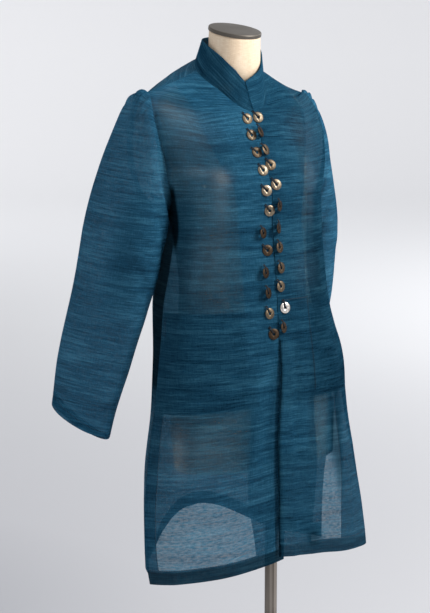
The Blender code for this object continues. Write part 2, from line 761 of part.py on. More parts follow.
def grid_faces(bm, grid, ring):
    rows = [[bm.verts.new(point) for point in row] for row in grid]
    for low, high in zip(rows, rows[1:]):
        count = len(low)
        for k in range(count if ring else count - 1):
            n = (k + 1) % count
            bm.faces.new((low[k], low[n], high[n], high[k]))
    return rows


def grid_normals(grid, ring):
    """Unit normals of a grid of points, from the steps along its rows and columns."""
    last = len(grid) - 1
    count = len(grid[0])
    normals = []
    for j, row in enumerate(grid):
        line = []
        for k in range(count):
            before = row[(k - 1) % count] if ring else row[max(0, k - 1)]
            after = row[(k + 1) % count] if ring else row[min(count - 1, k + 1)]
            rise = grid[min(last, j + 1)][k] - grid[max(0, j - 1)][k]
            line.append((after - before).cross(rise).normalized())
        normals.append(line)
    return normals


def moved_in(grid, depth, outside, ring=False):
    """The grid moved inward by depth. outside is 1 where its normals point out, or -1."""
    normals = grid_normals(grid, ring)
    return [[point - normal * (depth * outside) for point, normal in zip(row, line)]
            for row, line in zip(grid, normals)]


def trimmed(grid, amount, ring=False, open_from=0):
    """The grid with its edges drawn back by amount, its first column only above open_from."""
    result = [list(row) for row in grid]
    result[0] = [towards(a, b, amount) for a, b in zip(grid[0], grid[1])]
    result[-1] = [towards(a, b, amount) for a, b in zip(grid[-1], grid[-2])]
    if ring:
        return result
    for j, row in enumerate(result):
        first = towards(row[0], row[1], amount) if j >= open_from else row[0]
        row[-1] = towards(row[-1], row[-2], amount)
        row[0] = first
    return result


def add_wall(bm, outer, inner, ring=False, open_from=0):
    """Faces of a wall between two grids. Its first edge is closed only above open_from."""
    outer_rows = grid_faces(bm, outer, ring)
    inner_rows = grid_faces(bm, inner, ring)
    count = len(outer[0])
    for a, b in ((outer_rows[0], inner_rows[0]), (outer_rows[-1], inner_rows[-1])):
        for k in range(count if ring else count - 1):
            n = (k + 1) % count
            bm.faces.new((a[k], a[n], b[n], b[k]))
    if ring:
        return
    for k, first in ((0, open_from), (count - 1, 0)):
        for j in range(first, len(outer) - 1):
            bm.faces.new((outer_rows[j][k], outer_rows[j + 1][k],
                          inner_rows[j + 1][k], inner_rows[j][k]))


def wall(name, outer, inner, ring, finish, collection):
    bm = bmesh.new()
    add_wall(bm, outer, inner, ring)
    return finish_mesh(name, bm, finish, collection)


def panel(name, grid, outside, finish, collection, thickness=WALL, ring=False):
    """Outer cloth: a wall whose outer face is the grid."""
    inner = trimmed(moved_in(grid, thickness, outside, ring), EDGE_BEVEL, ring)
    return wall(name, grid, inner, ring, finish, collection)


def back_panel(name, halves, finish, collection):
    """The back is one piece up to the neckline, where its two halves part."""
    inner = {}
    for side, grid in halves.items():
        moved = moved_in(grid, WALL, side_sign(side) * -1.0)
        inner[side] = trimmed(moved, EDGE_BEVEL, open_from=NECK_ROW + 1)
    for right, left in zip(inner["right"][:NECK_ROW + 1], inner["left"]):
        middle = right[0].lerp(left[0], 0.5)
        middle.x = 0.0
        right[0] = middle
        left[0] = middle.copy()
    bm = bmesh.new()
    for side, grid in halves.items():
        add_wall(bm, grid, inner[side], open_from=NECK_ROW)
    bmesh.ops.remove_doubles(bm, verts=bm.verts, dist=0.00001)
    return finish_mesh(name, bm, finish, collection)


def lining(name, grid, outside, finish, collection, ring=False):
    """Inner cloth: a thin wall that lies just under a panel's points."""
    start = WALL + GAP
    outer = trimmed(moved_in(grid, start, outside, ring), EDGE_BEVEL + SEAM, ring)
    inner = trimmed(moved_in(grid, start + INNER_WALL, outside, ring), EDGE_BEVEL + SEAM, ring)
    return wall(name, outer, inner, ring, finish, collection)


def part_of(grid, rows, columns):
    """A patch of a grid. rows and columns are (first, last), last counted in."""
    return [row[columns[0]:columns[1] + 1] for row in grid[rows[0]:rows[1] + 1]]


def turned(name, profile, finish, collection, sides=32):
    """A turned solid. profile runs down its outer side, from the axis to the axis."""
    mesh = bpy.data.meshes.new(name)
    points = [(radius, 0.0, height) for radius, height in profile]
    count = len(points)
    edges = [(k, k + 1) for k in range(count - 1)]
    if profile[0][0] > 0.0:
        edges.append((count - 1, 0))
    mesh.from_pydata(points, edges, [])
    mesh.materials.append(finish)
    obj = bpy.data.objects.new(name, mesh)
    collection.objects.link(obj)
    screw = obj.modifiers.new("Screw", "SCREW")
    screw.steps = sides
    screw.render_steps = sides
    screw.use_merge_vertices = True
    screw.merge_threshold = 0.00005
    screw.use_smooth_shade = True
    return obj


# The coat

def make_coat(collection, finishes):
    silk = finishes["silk"]
    fold = finishes["silk_fold"]
    last_row = len(levels()) - 1
    facing_end = FACING_COLUMNS
    slit_start = FACING_COLUMNS + MIDDLE_COLUMNS
    side_edge = slit_start + SLIT_COLUMNS
    fronts = {}
    for side in ("right", "left"):
        outside = side_sign(side)
        grid = front_surface(side)
        fronts[side] = grid
        panel(f"front_{side}", grid, outside, silk, collection)
        facing = part_of(grid, (0, last_row), (0, facing_end))
        lining(f"front_facing_{side}", facing, outside, fold, collection)
        turn_up = part_of(grid, (0, HEM_ROW), (facing_end, side_edge))
        lining(f"hem_turn_up_{side}", turn_up, outside, fold, collection)
        slit = part_of(grid, (HEM_ROW, SLIT_ROW), (slit_start, side_edge))
        lining(f"slit_facing_{side}", slit, outside, fold, collection)
        bag = part_of(grid, (SLIT_ROW, POCKET_ROW), (facing_end, side_edge))
        lining(f"pocket_bag_{side}", bag, outside, fold, collection)

        sleeve = sleeve_surface(side)
        panel(f"sleeve_{side}", sleeve, -outside, silk, collection, ring=True)
        lining(f"cuff_turn_up_{side}", sleeve[-2:], -outside, fold, collection, ring=True)

    back = back_surface()
    back_panel("back", back, silk, collection)
    hem = [right[::-1] + left[1:] for right, left in zip(back["right"], back["left"])]
    lining("hem_turn_up_back", hem[:HEM_ROW + 1], -1.0, fold, collection)
    panel("collar", collar_surface(), -1.0, silk, collection, thickness=COLLAR_WALL)
    return fronts


# Discs

def disc_outline():
    """A round disc with a hole and a slot that opens at its top edge."""
    half = DISC_SLOT / 2.0
    outer_start = math.asin(half / DISC_RADIUS)
    inner_start = math.asin(half / DISC_HOLE)
    outer = [(DISC_RADIUS, mix(outer_start, 2.0 * math.pi - outer_start, k / DISC_STEPS))
             for k in range(DISC_STEPS + 1)]
    inner = [(DISC_HOLE, mix(2.0 * math.pi - inner_start, inner_start, k / HOLE_STEPS))
             for k in range(HOLE_STEPS + 1)]
    return [(radius * math.sin(turn), radius * math.cos(turn)) for radius, turn in outer + inner]


def disc_curve(finish):
    curve = bpy.data.curves.new("disc", "CURVE")
    curve.dimensions = "2D"
    curve.fill_mode = "BOTH"
    curve.extrude = DISC_THICKNESS / 2.0
    outline = disc_outline()
    spline = curve.splines.new("POLY")
    spline.points.add(len(outline) - 1)
    for point, (x, y) in zip(spline.points, outline):
        point.co = (x, y, 0.0, 1.0)
    spline.use_cyclic_u = True
    curve.materials.append(finish)
    return curve


def surface_tree(grids):
    """The outer faces of several grids, to lay things on."""
    points = []
    faces = []
    for grid in grids:
        base = len(points)
        width = len(grid[0])
        for row in grid:
            points += row
        for j in range(len(grid) - 1):
            for k in range(width - 1):
                a = base + j * width + k
                faces.append((a, a + 1, a + width + 1, a + width))
    return BVHTree.FromPolygons(points, faces)


def seated(turned_matrix, x, height, tree):
    """Moves a turned disc back along Y until its nearest point is just clear of the cloth."""
    ahead = -0.3
    room = 1.0
    places = itertools.product(SEAT_RINGS, range(DISC_STEPS * 2), (-0.5, 0.5))
    for share, k, face in places:
        turn = math.pi * k / DISC_STEPS
        radius = DISC_RADIUS * share
        place = Vector((radius * math.sin(turn), radius * math.cos(turn), DISC_THICKNESS * face))
        point = turned_matrix @ place + Vector((x, ahead, height))
        distance = tree.ray_cast(point, Vector((0.0, 1.0, 0.0)))[3]
        if distance is not None:
            room = min(room, distance)
    return Matrix.Translation((x, ahead + room - DISC_CLEARANCE, height)) @ turned_matrix


def make_discs(collection, finish, fronts):
    tree = surface_tree(fronts.values())
    curve = disc_curve(finish)
    upright = Matrix.Rotation(math.radians(90.0), 4, "X")
    for number, row in enumerate(DISC_ROWS, start=1):
        sizes = dict(zip(DISC_COLUMNS, row))
        for side in ("right", "left"):
            turn = Matrix.Rotation(math.radians(sizes[f"turn_{side}"]), 4, "Z")
            lean = Matrix.Rotation(math.radians(sizes[f"lean_{side}"]), 4, "Z")
            height = sizes[f"height_{side}"]
            rake = Matrix.Rotation(math.radians(chest_rake(height)), 4, "X")
            obj = bpy.data.objects.new(f"disc_{side}_{number:02d}", curve)
            obj.matrix_world = seated(turn @ rake @ upright @ lean, sizes[f"x_{side}"], height, tree)
            collection.objects.link(obj)


def chest_rake(height):
    """How far the centre front leans back from the vertical, in degrees."""
    rise = CENTRE_FRONT.at(height + 0.01, "y") - CENTRE_FRONT.at(height - 0.01, "y")
    return -math.degrees(math.atan2(rise, 0.02))


# The dress form

def form_ring(height):
    """One section of the torso, a superellipse with its own depth in front and behind."""
    sizes = {name: FORM.at(height, name) for name in FORM.columns}
    ring = []
    for k in range(FORM_SIDES):
        angle = 2.0 * math.pi * k / FORM_SIDES
        across = math.copysign(abs(math.cos(angle)) ** (2.0 / sizes["power"]), math.cos(angle))
        along = math.copysign(abs(math.sin(angle)) ** (2.0 / sizes["power"]), math.sin(angle))
        depth = sizes["back"] if along > 0.0 else sizes["front"]
        lean = sizes["tilt"] * along * depth
        ring.append(Vector((across * sizes["half_width"], sizes["middle"] + along * depth,
                            height + lean)))
    return ring


def make_form(collection, finishes):
    bm = bmesh.new()
    rings = grid_faces(bm, [form_ring(height) for height in form_heights()], True)
    bm.faces.new(rings[0])
    bm.faces.new(rings[-1])
    finish_mesh("form_torso", bm, finishes["linen"], collection)

    top = FORM.keys[-1]
    cap = turned("neck_cap", [(0.0, CAP_THICKNESS), (CAP_RADIUS - CAP_EDGE, CAP_THICKNESS),
                              (CAP_RADIUS - SMALL_EDGE, CAP_THICKNESS - SMALL_EDGE),
                              (CAP_RADIUS, CAP_THICKNESS - CAP_EDGE),
                              (CAP_RADIUS, SMALL_EDGE), (CAP_RADIUS - SMALL_EDGE, 0.0), (0.0, 0.0)],
                 finishes["cap_metal"], collection)
    cap.location = (0.0, FORM.at(top, "middle"), top + REST)
    cap.rotation_euler = (CAP_TILT, 0.0, 0.0)


def form_heights():
    heights = []
    for low, high in zip(FORM.keys, FORM.keys[1:]):
        count = max(1, round((high - low) / FORM_STEP))
        heights += steps(low, high, count)
    return heights + [FORM.keys[-1]]


def make_stand(collection, finishes):
    socket_top = FORM_BOTTOM - REST
    plate = SOCKET_PLATE
    bore = POLE_RADIUS + REST
    turned("pole_socket", [(bore, socket_top), (plate["radius"], socket_top),
                           (plate["radius"], socket_top - plate["thickness"]),
                           (plate["tube"], socket_top - plate["thickness"]),
                           (plate["tube"], socket_top - plate["height"]),
                           (bore, socket_top - plate["height"])],
           finishes["pole_metal"], collection)

    turned("base", [(0.0, BASE_THICKNESS), (FOOT["radius"], BASE_THICKNESS),
                    (BASE_RADIUS - BASE_EDGE, BASE_THICKNESS - BASE_EDGE / 2.0),
                    (BASE_RADIUS, BASE_THICKNESS - BASE_EDGE * 1.5),
                    (BASE_RADIUS, SMALL_EDGE), (BASE_RADIUS - SMALL_EDGE, 0.0), (0.0, 0.0)],
           finishes["base_metal"], collection, sides=48)
    low = BASE_THICKNESS + REST
    top = low + FOOT["height"]
    turned("pole_collar", [(bore, top), (FOOT["radius"] - FOOT["edge"], top),
                           (FOOT["radius"], top - FOOT["edge"]), (FOOT["radius"], low),
                           (bore, low)], finishes["pole_metal"], collection)
    turned("pole", [(0.0, socket_top - REST), (POLE_RADIUS, socket_top - REST),
                    (POLE_RADIUS, low), (0.0, low)], finishes["pole_metal"], collection)


def main():
    for obj in list(bpy.data.objects):
        bpy.data.objects.remove(obj)
    collection = bpy.data.collections.new("tibetan_coat_on_dress_form")
    bpy.context.scene.collection.children.link(collection)
    finishes = {
        "silk": material("silk", (0.012, 0.060, 0.110), 0.55),
        "silk_fold": material("silk_fold", (0.008, 0.045, 0.085), 0.60),
        "disc_metal": material("disc_metal", (0.30, 0.24, 0.17), 0.45, 1.0),
        "linen": material("linen", (0.78, 0.66, 0.46), 0.85),
        "cap_metal": material("cap_metal", (0.20, 0.18, 0.15), 0.45, 1.0),
        "pole_metal": material("pole_metal", (0.16, 0.13, 0.11), 0.40, 1.0),
        "base_metal": material("base_metal", (0.10, 0.09, 0.08), 0.50, 1.0)}
    fronts = make_coat(collection, finishes)
    make_discs(collection, finishes["disc_metal"], fronts)
    make_form(collection, finishes)
    make_stand(collection, finishes)


main()
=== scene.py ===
# Long coat of sheer slubbed silk on a limbless linen dress form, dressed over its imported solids.
# Metres. The front faces -Y, the wearer's left is +X and +Z is up.

import bisect
import math

import bmesh
import bpy
import numpy as np
from mathutils import Matrix, Vector, noise
from mathutils.bvhtree import BVHTree


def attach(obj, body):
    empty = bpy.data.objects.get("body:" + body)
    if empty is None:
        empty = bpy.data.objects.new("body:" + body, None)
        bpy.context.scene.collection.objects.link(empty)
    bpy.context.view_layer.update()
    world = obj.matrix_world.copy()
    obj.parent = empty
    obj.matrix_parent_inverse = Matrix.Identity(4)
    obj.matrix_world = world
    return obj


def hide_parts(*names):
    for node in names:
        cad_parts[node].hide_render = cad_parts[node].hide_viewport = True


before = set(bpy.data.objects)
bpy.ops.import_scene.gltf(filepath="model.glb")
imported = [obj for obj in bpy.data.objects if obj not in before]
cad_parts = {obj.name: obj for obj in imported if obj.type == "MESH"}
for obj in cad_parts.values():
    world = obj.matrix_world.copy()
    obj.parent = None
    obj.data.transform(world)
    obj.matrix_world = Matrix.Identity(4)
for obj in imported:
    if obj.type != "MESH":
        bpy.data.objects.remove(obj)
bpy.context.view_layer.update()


def added(name, data):
    """A new object in the scene."""
    made = bpy.data.objects.new(name, data)
    bpy.context.scene.collection.objects.link(made)
    return made


# The camera looks at the coat from its right front, at eye height
camera = added("camera", bpy.data.cameras.new("camera"))
camera.location = (-1.9277, -2.5567, 1.53)
camera.rotation_euler = (math.radians(80.5), 0.0, math.radians(-35.0))
camera.data.lens = 97.13
camera.data.sensor_width = 36.0
camera.data.sensor_fit = "AUTO"
bpy.context.scene.camera = camera

# Heights of the coat
HEM = 0.467
SLIT_TOP = 0.800
POCKET_TOP = 0.990
ARMPIT = 1.205
NECK_HEIGHT = {"front": 1.371, "back": 1.479}

# Widths measured along the cloth
HEM_TURN_UP = 0.027
CUFF_TURN_UP = 0.017
SLIT_FACING = {"right": 0.023, "left": 0.140}
POCKET_SPREAD = {"right": 0.001, "left": 0.010}    # how far a pocket's mouth stands out

# Shares of the way up the armhole, from the side seam (0) to the shoulder seam (1)
NECK_SHARE = 0.70        # where the rows reach the neckline at the centre
SHOULDER_LIFT = {"right": 0.005, "left": -0.004}
LIFT_OUT = (0.07, 0.17)  # where that lift comes in, out from the middle
LIFT_UP = (1.25, 1.37)   # and up from the chest
SHOULDER_TURN = 104.0    # where the shoulder seam meets the neckline, round from the front
SHOULDER_SAG = 0.010     # pull on the middle of the shoulder seam
YOKE_RISE = {"front": 0.004, "back": 0.018}    # fullness of the rows before and behind it
CORNER_AT_NECK = {"front": 0.86, "back": 0.80}  # how square the rows turn there

# Discs
DISC_RADIUS = 0.0108
DISC_HOLE = 0.0030
DISC_SLOT = 0.0036
DISC_THICKNESS = 0.0010
DISC_CLEARANCE = 0.0004

# Dress form and stand
FORM_BOTTOM = 0.677
CAP_RADIUS = 0.0530
CAP_THICKNESS = 0.0075
CAP_TILT = math.radians(14.0)
REST = 0.0003            # air between hard pieces that touch
POLE_RADIUS = 0.0125
SOCKET_PLATE = {"radius": 0.034, "thickness": 0.005, "tube": 0.0165, "height": 0.050}
BASE_RADIUS = 0.180
BASE_THICKNESS = 0.012
BASE_EDGE = 0.004
FOOT = {"radius": 0.028, "height": 0.040, "edge": 0.004}    # collar at the foot of the pole


def hermite(start, leave, end, arrive, t):
    """From start, setting off along leave, to end, coming in along arrive."""
    return (start * (2 * t ** 3 - 3 * t ** 2 + 1) + leave * (t ** 3 - 2 * t ** 2 + t)
            + end * (3 * t ** 2 - 2 * t ** 3) + arrive * (t ** 3 - t ** 2))


class Table:
    """Rows of sizes under named columns, read smoothly between the rows."""

    def __init__(self, columns, rows):
        self.keys = [row[0] for row in rows]
        self.columns = {name: [row[i] for row in rows] for i, name in enumerate(columns.split())}

    def slope(self, values, i):
        """The slope at row i; of the two spans beside it, the shorter one counts for more."""
        spans = [k for k in (i - 1, i) if 0 <= k < len(self.keys) - 1]
        strides = [self.keys[k + 1] - self.keys[k] for k in spans]
        slopes = [(values[k + 1] - values[k]) / stride for k, stride in zip(spans, strides)]
        return sum(slope * stride for slope, stride in zip(slopes, strides[::-1])) / sum(strides)

    def at(self, key, column):
        keys, values = self.keys, self.columns[column]
        if key <= keys[0]:
            return values[0]
        if key >= keys[-1]:
            return values[-1]
        i = bisect.bisect_right(keys, key) - 1
        step = keys[i + 1] - keys[i]
        return hermite(values[i], self.slope(values, i) * step,
                       values[i + 1], self.slope(values, i + 1) * step, (key - keys[i]) / step)


# Centre front, from the hem to the base of the neck. edge_left is where the left
# front's edge lies, across the middle, and edge_right the right front's edge under it.
CENTRE_FRONT = Table("height y edge_left edge_right", (
    (0.47, -0.05, -0.0225, -0.006), (0.59, -0.047, -0.0225, 0.0), (0.67, -0.046, -0.0235, 0.002),
    (0.74, -0.044, -0.0205, 0.003), (0.82, -0.04, -0.014, 0.004), (0.9, -0.033, -0.008, 0.005),
    (0.97, -0.024, -0.0045, 0.005), (1.035, -0.016, -0.003, 0.005), (1.1, -0.009, -0.003, 0.005),
    (1.161, -0.002, -0.003, 0.005), (1.224, 0.0005, -0.003, 0.005), (1.271, 0.0165, -0.003, 0.005),
    (1.318, 0.035, -0.004, 0.004), (1.371, 0.056, -0.0065, -0.0055)))
CENTRE_BACK = Table("height y", (
    (0.47, 0.262), (0.6, 0.256), (0.74, 0.25), (0.9, 0.25), (1.06, 0.254), (1.205, 0.26), (1.28, 0.262),
    (1.35, 0.254), (1.42, 0.234), (1.479, 0.202)))

# Side edges. corner is how square the panel turns to the side.
FRONT_SIDE = Table("height x y corner", (
    (0.467, 0.2705, 0.036, 0.74), (0.505, 0.2725, 0.044, 0.76), (0.595, 0.2665, 0.0575, 0.8),
    (0.676, 0.254, 0.064, 0.84), (0.74, 0.2422, 0.069, 0.88), (0.818, 0.229, 0.07, 0.92),
    (0.878, 0.218, 0.076, 0.96), (0.937, 0.2045, 0.086, 1.0), (1.008, 0.192, 0.095, 1.0),
    (1.063, 0.1836, 0.09, 1.0), (1.103, 0.1786, 0.087, 1.0), (1.161, 0.1755, 0.083, 0.99),
    (1.205, 0.176, 0.09, 0.98)))
BACK_SIDE = Table("height x y corner", (
    (0.467, 0.219, 0.112, 0.82), (0.54, 0.2215, 0.114, 0.8), (0.618, 0.226, 0.112, 0.74),
    (0.68, 0.2305, 0.103, 0.7), (0.74, 0.232, 0.089, 0.67), (0.8, 0.23, 0.075, 0.69),
    (0.878, 0.218, 0.076, 0.79), (0.937, 0.2045, 0.086, 0.91), (1.008, 0.192, 0.095, 1.0),
    (1.063, 0.1836, 0.09, 0.98), (1.103, 0.1786, 0.087, 0.95), (1.161, 0.1755, 0.083, 0.9),
    (1.205, 0.176, 0.09, 0.88)))

# Armhole, front and back, from the side seam up to the shoulder seam
ARMHOLE_FRONT = Table("share x y height", (
    (0.0, 0.176, 0.09, 1.205), (0.1, 0.182, 0.0875, 1.23), (0.2, 0.1875, 0.0872, 1.253),
    (0.35, 0.1935, 0.0895, 1.288), (0.5, 0.1985, 0.0985, 1.326), (0.65, 0.1995, 0.112, 1.358),
    (0.8, 0.1965, 0.127, 1.385), (0.9, 0.193, 0.139, 1.4), (1.0, 0.189, 0.153, 1.407)))
ARMHOLE_BACK = Table("share x y height", (
    (0.0, 0.176, 0.09, 1.205), (0.1, 0.179, 0.115, 1.196), (0.2, 0.183, 0.145, 1.197),
    (0.35, 0.189, 0.178, 1.222), (0.5, 0.193, 0.197, 1.265), (0.65, 0.195, 0.202, 1.315),
    (0.8, 0.195, 0.191, 1.36), (0.9, 0.193, 0.175, 1.39), (1.0, 0.189, 0.153, 1.407)))

# Neckline and the collar's top edge, round from the centre front
NECKLINE = Table("turn x y height", (
    (0.0, 0.0, 0.056, 1.371), (30.0, 0.03, 0.0725, 1.384), (60.0, 0.054, 0.099, 1.411),
    (90.0, 0.0755, 0.137, 1.441), (120.0, 0.069, 0.17, 1.463), (150.0, 0.04, 0.194, 1.475),
    (180.0, 0.0, 0.202, 1.479)))
COLLAR_TOP = Table("turn x y height", (
    (0.0, 0.0, 0.0745, 1.43), (30.0, 0.029, 0.085, 1.452), (60.0, 0.051, 0.106, 1.479),
    (90.0, 0.061, 0.135, 1.499), (120.0, 0.054, 0.165, 1.511), (150.0, 0.03, 0.179, 1.515),
    (180.0, 0.0, 0.185, 1.517)))
COLLAR_CROSS = (0.0060, 0.0135)    # how far its ends meet across the middle, at base and top
FRONT_TURN = 30.0                  # where an end starts to move across, round from the front

# Edge of the front facing, measured across from the centre front
FACING_EDGE = Table("height x", (
    (0.47, 0.068), (0.53, 0.074), (0.61, 0.086), (0.76, 0.078), (1.1, 0.076), (1.2, 0.079), (1.25, 0.09),
    (1.3, 0.112), (1.35, 0.128), (1.41, 0.132)))

# Sleeve, left one; the middle of each section and its half sizes
SLEEVE = Table("height x y front_back side", (
    (0.758, 0.2865, 0.26, 0.0731, 0.016), (0.837, 0.279, 0.243, 0.0776, 0.022),
    (0.893, 0.2712, 0.23, 0.0817, 0.028), (0.95, 0.261, 0.2165, 0.0851, 0.034),
    (1.008, 0.251, 0.2, 0.0881, 0.041), (1.067, 0.24, 0.189, 0.0909, 0.048),
    (1.14, 0.229, 0.179, 0.093, 0.054)))
SLEEVE_TURN = 20.0       # how far a section's front edge is swung towards the body
SLEEVE_TOP = 1.140       # lowest full section under the arm
CUFF_HEIGHT = 0.758
LEFT_SLEEVE_IN = 0.004   # the left sleeve hangs this much closer
SLEEVE_IN_SHARES = (0.6, 0.9)    # where it does

# Linen form: half width, middle, and depth in front of and behind the middle.
# power 2 is an ellipse and 1 a diamond; tilt lowers the front of a section.
FORM = Table("height half_width middle front back power tilt", (
    (0.677, 0.185, 0.052, 0.086, 0.1, 2.15, 0.0), (0.74, 0.189, 0.056, 0.088, 0.105, 2.1, 0.0),
    (0.82, 0.185, 0.063, 0.092, 0.108, 2.05, 0.0), (0.9, 0.17, 0.073, 0.095, 0.106, 2.0, 0.0),
    (0.97, 0.152, 0.085, 0.098, 0.1, 2.0, 0.0), (1.035, 0.143, 0.096, 0.101, 0.098, 2.0, 0.0),
    (1.1, 0.145, 0.104, 0.102, 0.104, 2.0, 0.0), (1.161, 0.152, 0.111, 0.101, 0.112, 2.0, 0.0),
    (1.205, 0.158, 0.118, 0.105, 0.118, 2.0, 0.0), (1.25, 0.162, 0.125, 0.106, 0.118, 2.0, 0.0),
    (1.3, 0.168, 0.133, 0.093, 0.11, 1.95, 0.0), (1.345, 0.174, 0.14, 0.078, 0.094, 1.8, 0.0),
    (1.383, 0.172, 0.145, 0.064, 0.079, 1.6, 0.02), (1.401, 0.16, 0.149, 0.056, 0.067, 1.5, 0.05),
    (1.415, 0.128, 0.15, 0.05, 0.059, 1.45, 0.09), (1.426, 0.093, 0.149, 0.047, 0.05, 1.55, 0.14),
    (1.441, 0.065, 0.143, 0.051, 0.047, 1.8, 0.19), (1.47, 0.055, 0.1335, 0.0515, 0.048, 2.0, 0.24),
    (1.524, 0.0515, 0.129, 0.0505, 0.049, 2.0, 0.25)))

# Disc pairs from the top down: the height of each, how far each lies from the centre front,
# how it is turned about the vertical, and how its slot leans towards the wearer's right, in degrees
DISC_COLUMNS = ("height_right", "height_left", "x_right", "x_left", "turn_right", "turn_left",
                "lean_right", "lean_left")
DISC_ROWS = (
    (1.36, 1.362, -0.026, -0.001, -4, -10, 34, 38), (1.329, 1.335, -0.0245, -0.006, -2, 32, 30, 12),
    (1.296, 1.301, -0.0205, -0.0025, -4, 22, 48, 36), (1.262, 1.2715, -0.0165, 0.003, -10, -14, 30, 34),
    (1.2235, 1.234, -0.0175, 0.0065, -14, -12, 42, 32), (1.184, 1.1925, -0.011, 0.009, -12, 30, 38, 20),
    (1.1425, 1.15, -0.0285, 0.0055, 22, 34, 24, -8), (1.108, 1.1125, -0.0195, 0.007, -12, 18, 40, 14),
    (1.066, 1.0725, -0.029, 0.008, 20, 16, 12, 20), (1.0265, 1.0365, -0.0265, 0.005, 24, 10, 20, 30),
    (0.986, 0.9945, -0.024, 0.0115, 2, -8, 26, 12), (0.946, 0.9575, -0.0195, 0.003, -16, 24, 30, 14))


def side_sign(side):
    return 1.0 if side == "left" else -1.0


def smooth(value):
    value = min(1.0, max(0.0, value))
    return value * value * (3.0 - 2.0 * value)


def ramp(value, start, end):
    """Rises smoothly from 0 at start to 1 at end."""
    return smooth((value - start) / (end - start))


def mix(a, b, share):
    return a + (b - a) * share


def settled(point, side):
    """A point of the left half, put on its own side with that shoulder's height."""
    lift = SHOULDER_LIFT[side] * ramp(point.x, *LIFT_OUT) * ramp(point.z, *LIFT_UP)
    return Vector((point.x * side_sign(side), point.y, point.z + lift))


FULLNESS = math.sqrt(0.5)    # makes an arc a quarter of an ellipse


def arc(start, corner, end, s):
    """A quarter turn from start to end, pulled towards the corner between them."""
    w0 = (1 - s) * (1 - s)
    w1 = 2 * FULLNESS * s * (1 - s)
    w2 = s * s
    return (start * w0 + corner * w1 + end * w2) / (w0 + w1 + w2)


def table_point(table, key):
    return Vector((table.at(key, "x"), table.at(key, "y"), table.at(key, "height")))


def body_level(height):
    return (height - HEM) / (ARMPIT - HEM)


# For each panel its side edge, armhole and centre, and where its neckline starts
PANELS = {"front": (FRONT_SIDE, ARMHOLE_FRONT, CENTRE_FRONT, 0.0),
          "back": (BACK_SIDE, ARMHOLE_BACK, CENTRE_BACK, 180.0)}


def controls(part, side, level):
    """Centre, corner and side points of a panel's row. Level 0 is the hem, 1 the armpit and
    2 the shoulder. Above the neck a row starts on the neckline, and its corner flattens
    until it lies close to the straight shoulder seam."""
    sides, armhole, centre, first_turn = PANELS[part]
    share = level - 1.0
    if level <= 1.0:
        height = mix(HEM, ARMPIT, level)
        end = Vector((sides.at(height, "x"), sides.at(height, "y"), height))
        corner_share = sides.at(height, "corner")
    else:
        end = table_point(armhole, share)
        height = mix(ARMPIT, NECK_HEIGHT[part], min(1.0, share / NECK_SHARE))
        corner_share = mix(sides.at(ARMPIT, "corner"), CORNER_AT_NECK[part], smooth(share / NECK_SHARE))
    edge_x = centre.at(height, f"edge_{side}") * side_sign(side) if part == "front" else 0.0
    start = Vector((edge_x, centre.at(height, "y"), height))
    corner = Vector((end.x * corner_share, start.y, mix(start.z, end.z, 0.5)))
    if share > NECK_SHARE:
        share = (share - NECK_SHARE) / (1.0 - NECK_SHARE)
        turn = mix(first_turn, SHOULDER_TURN, share)
        start = table_point(NECKLINE, turn)
        start.x += edge_x * max(0.0, 1.0 - turn / FRONT_TURN)
        square = Vector((end.x * corner_share, start.y, mix(start.z, end.z, 0.4)))
        middle = start.lerp(end, 0.5) - Vector((0.0, 0.0, SHOULDER_SAG))
        bulge = Vector((0.0, 0.0, YOKE_RISE[part] * math.sin(math.pi * share)))
        corner = square.lerp(middle, smooth(share)) + bulge
    return start, corner, end


ROW_SAMPLES = 40         # points that a row is worked out at
HANG_END = 0.95          # level above which the weft lies level
FOLD_END = {"front": 0.62, "back": 0.85}    # levels where the skirt's folds run out
FOLD_EDGE = {"front": (0.20, 0.20), "back": (0.125, 0.165)}    # shares left flat at the centre and side
BACK_HEM_SPREAD = 1.35   # the back hem's lift ends before the sides
BACK_HEM_RISE = 0.065    # how far the back hem is lifted at the centre
BACK_HEM_DROP = 0.009    # how far its corners hang below the fronts

# How a front's hem hangs: its rise towards the centre front, how fast that comes,
# how far its side corner drops below the hem's height, and how far it flares out there
FRONT_HEM = {"right": {"rise": 0.027, "power": 2.0, "drop": -0.002, "flare": -0.004},
             "left": {"rise": 0.036, "power": 1.0, "drop": 0.014, "flare": 0.009}}

# Soft folds of the skirt, each with its place across the panel (a share), depth and
# half width (a share)
SKIRT_FOLDS = {
    "front": {"right": ((0.45, 0.0020, 0.16), (0.85, 0.0030, 0.10)),
              "left": ((0.42, -0.0040, 0.10), (0.62, 0.0035, 0.12))},
    "back": {"right": ((0.18, 0.0050, 0.16), (0.58, -0.0060, 0.14)),
             "left": ((0.28, 0.0045, 0.15), (0.66, -0.0055, 0.15))}}


def skirt_wave(part, side, level, share):
    """Soft vertical folds that open towards the hem, flat at both edges."""
    centre, edge = FOLD_EDGE[part]
    wave = sum(depth * math.exp(-((share - place) / spread) ** 2)
               for place, depth, spread in SKIRT_FOLDS[part][side])
    flat = ramp(share, 0.0, centre) * (1.0 - ramp(share, 1.0 - edge, 1.0))
    return wave * (1.0 - ramp(level, 0.0, FOLD_END[part])) * flat


def lengths_along(points):
    lengths = [0.0]
    for a, b in zip(points, points[1:]):
        lengths.append(lengths[-1] + (b - a).length)
    return lengths


def at_lengths(points, goals):
    """Points of the path at the given lengths along it, goals rising."""
    lengths = lengths_along(points)
    result = []
    i = 0
    for goal in goals:
        while i < len(points) - 2 and lengths[i + 1] < goal:
            i += 1
        share = (goal - lengths[i]) / (lengths[i + 1] - lengths[i])
        result.append(points[i].lerp(points[i + 1], share))
    return result


def steps(start, end, count):
    return [mix(start, end, k / count) for k in range(count)]


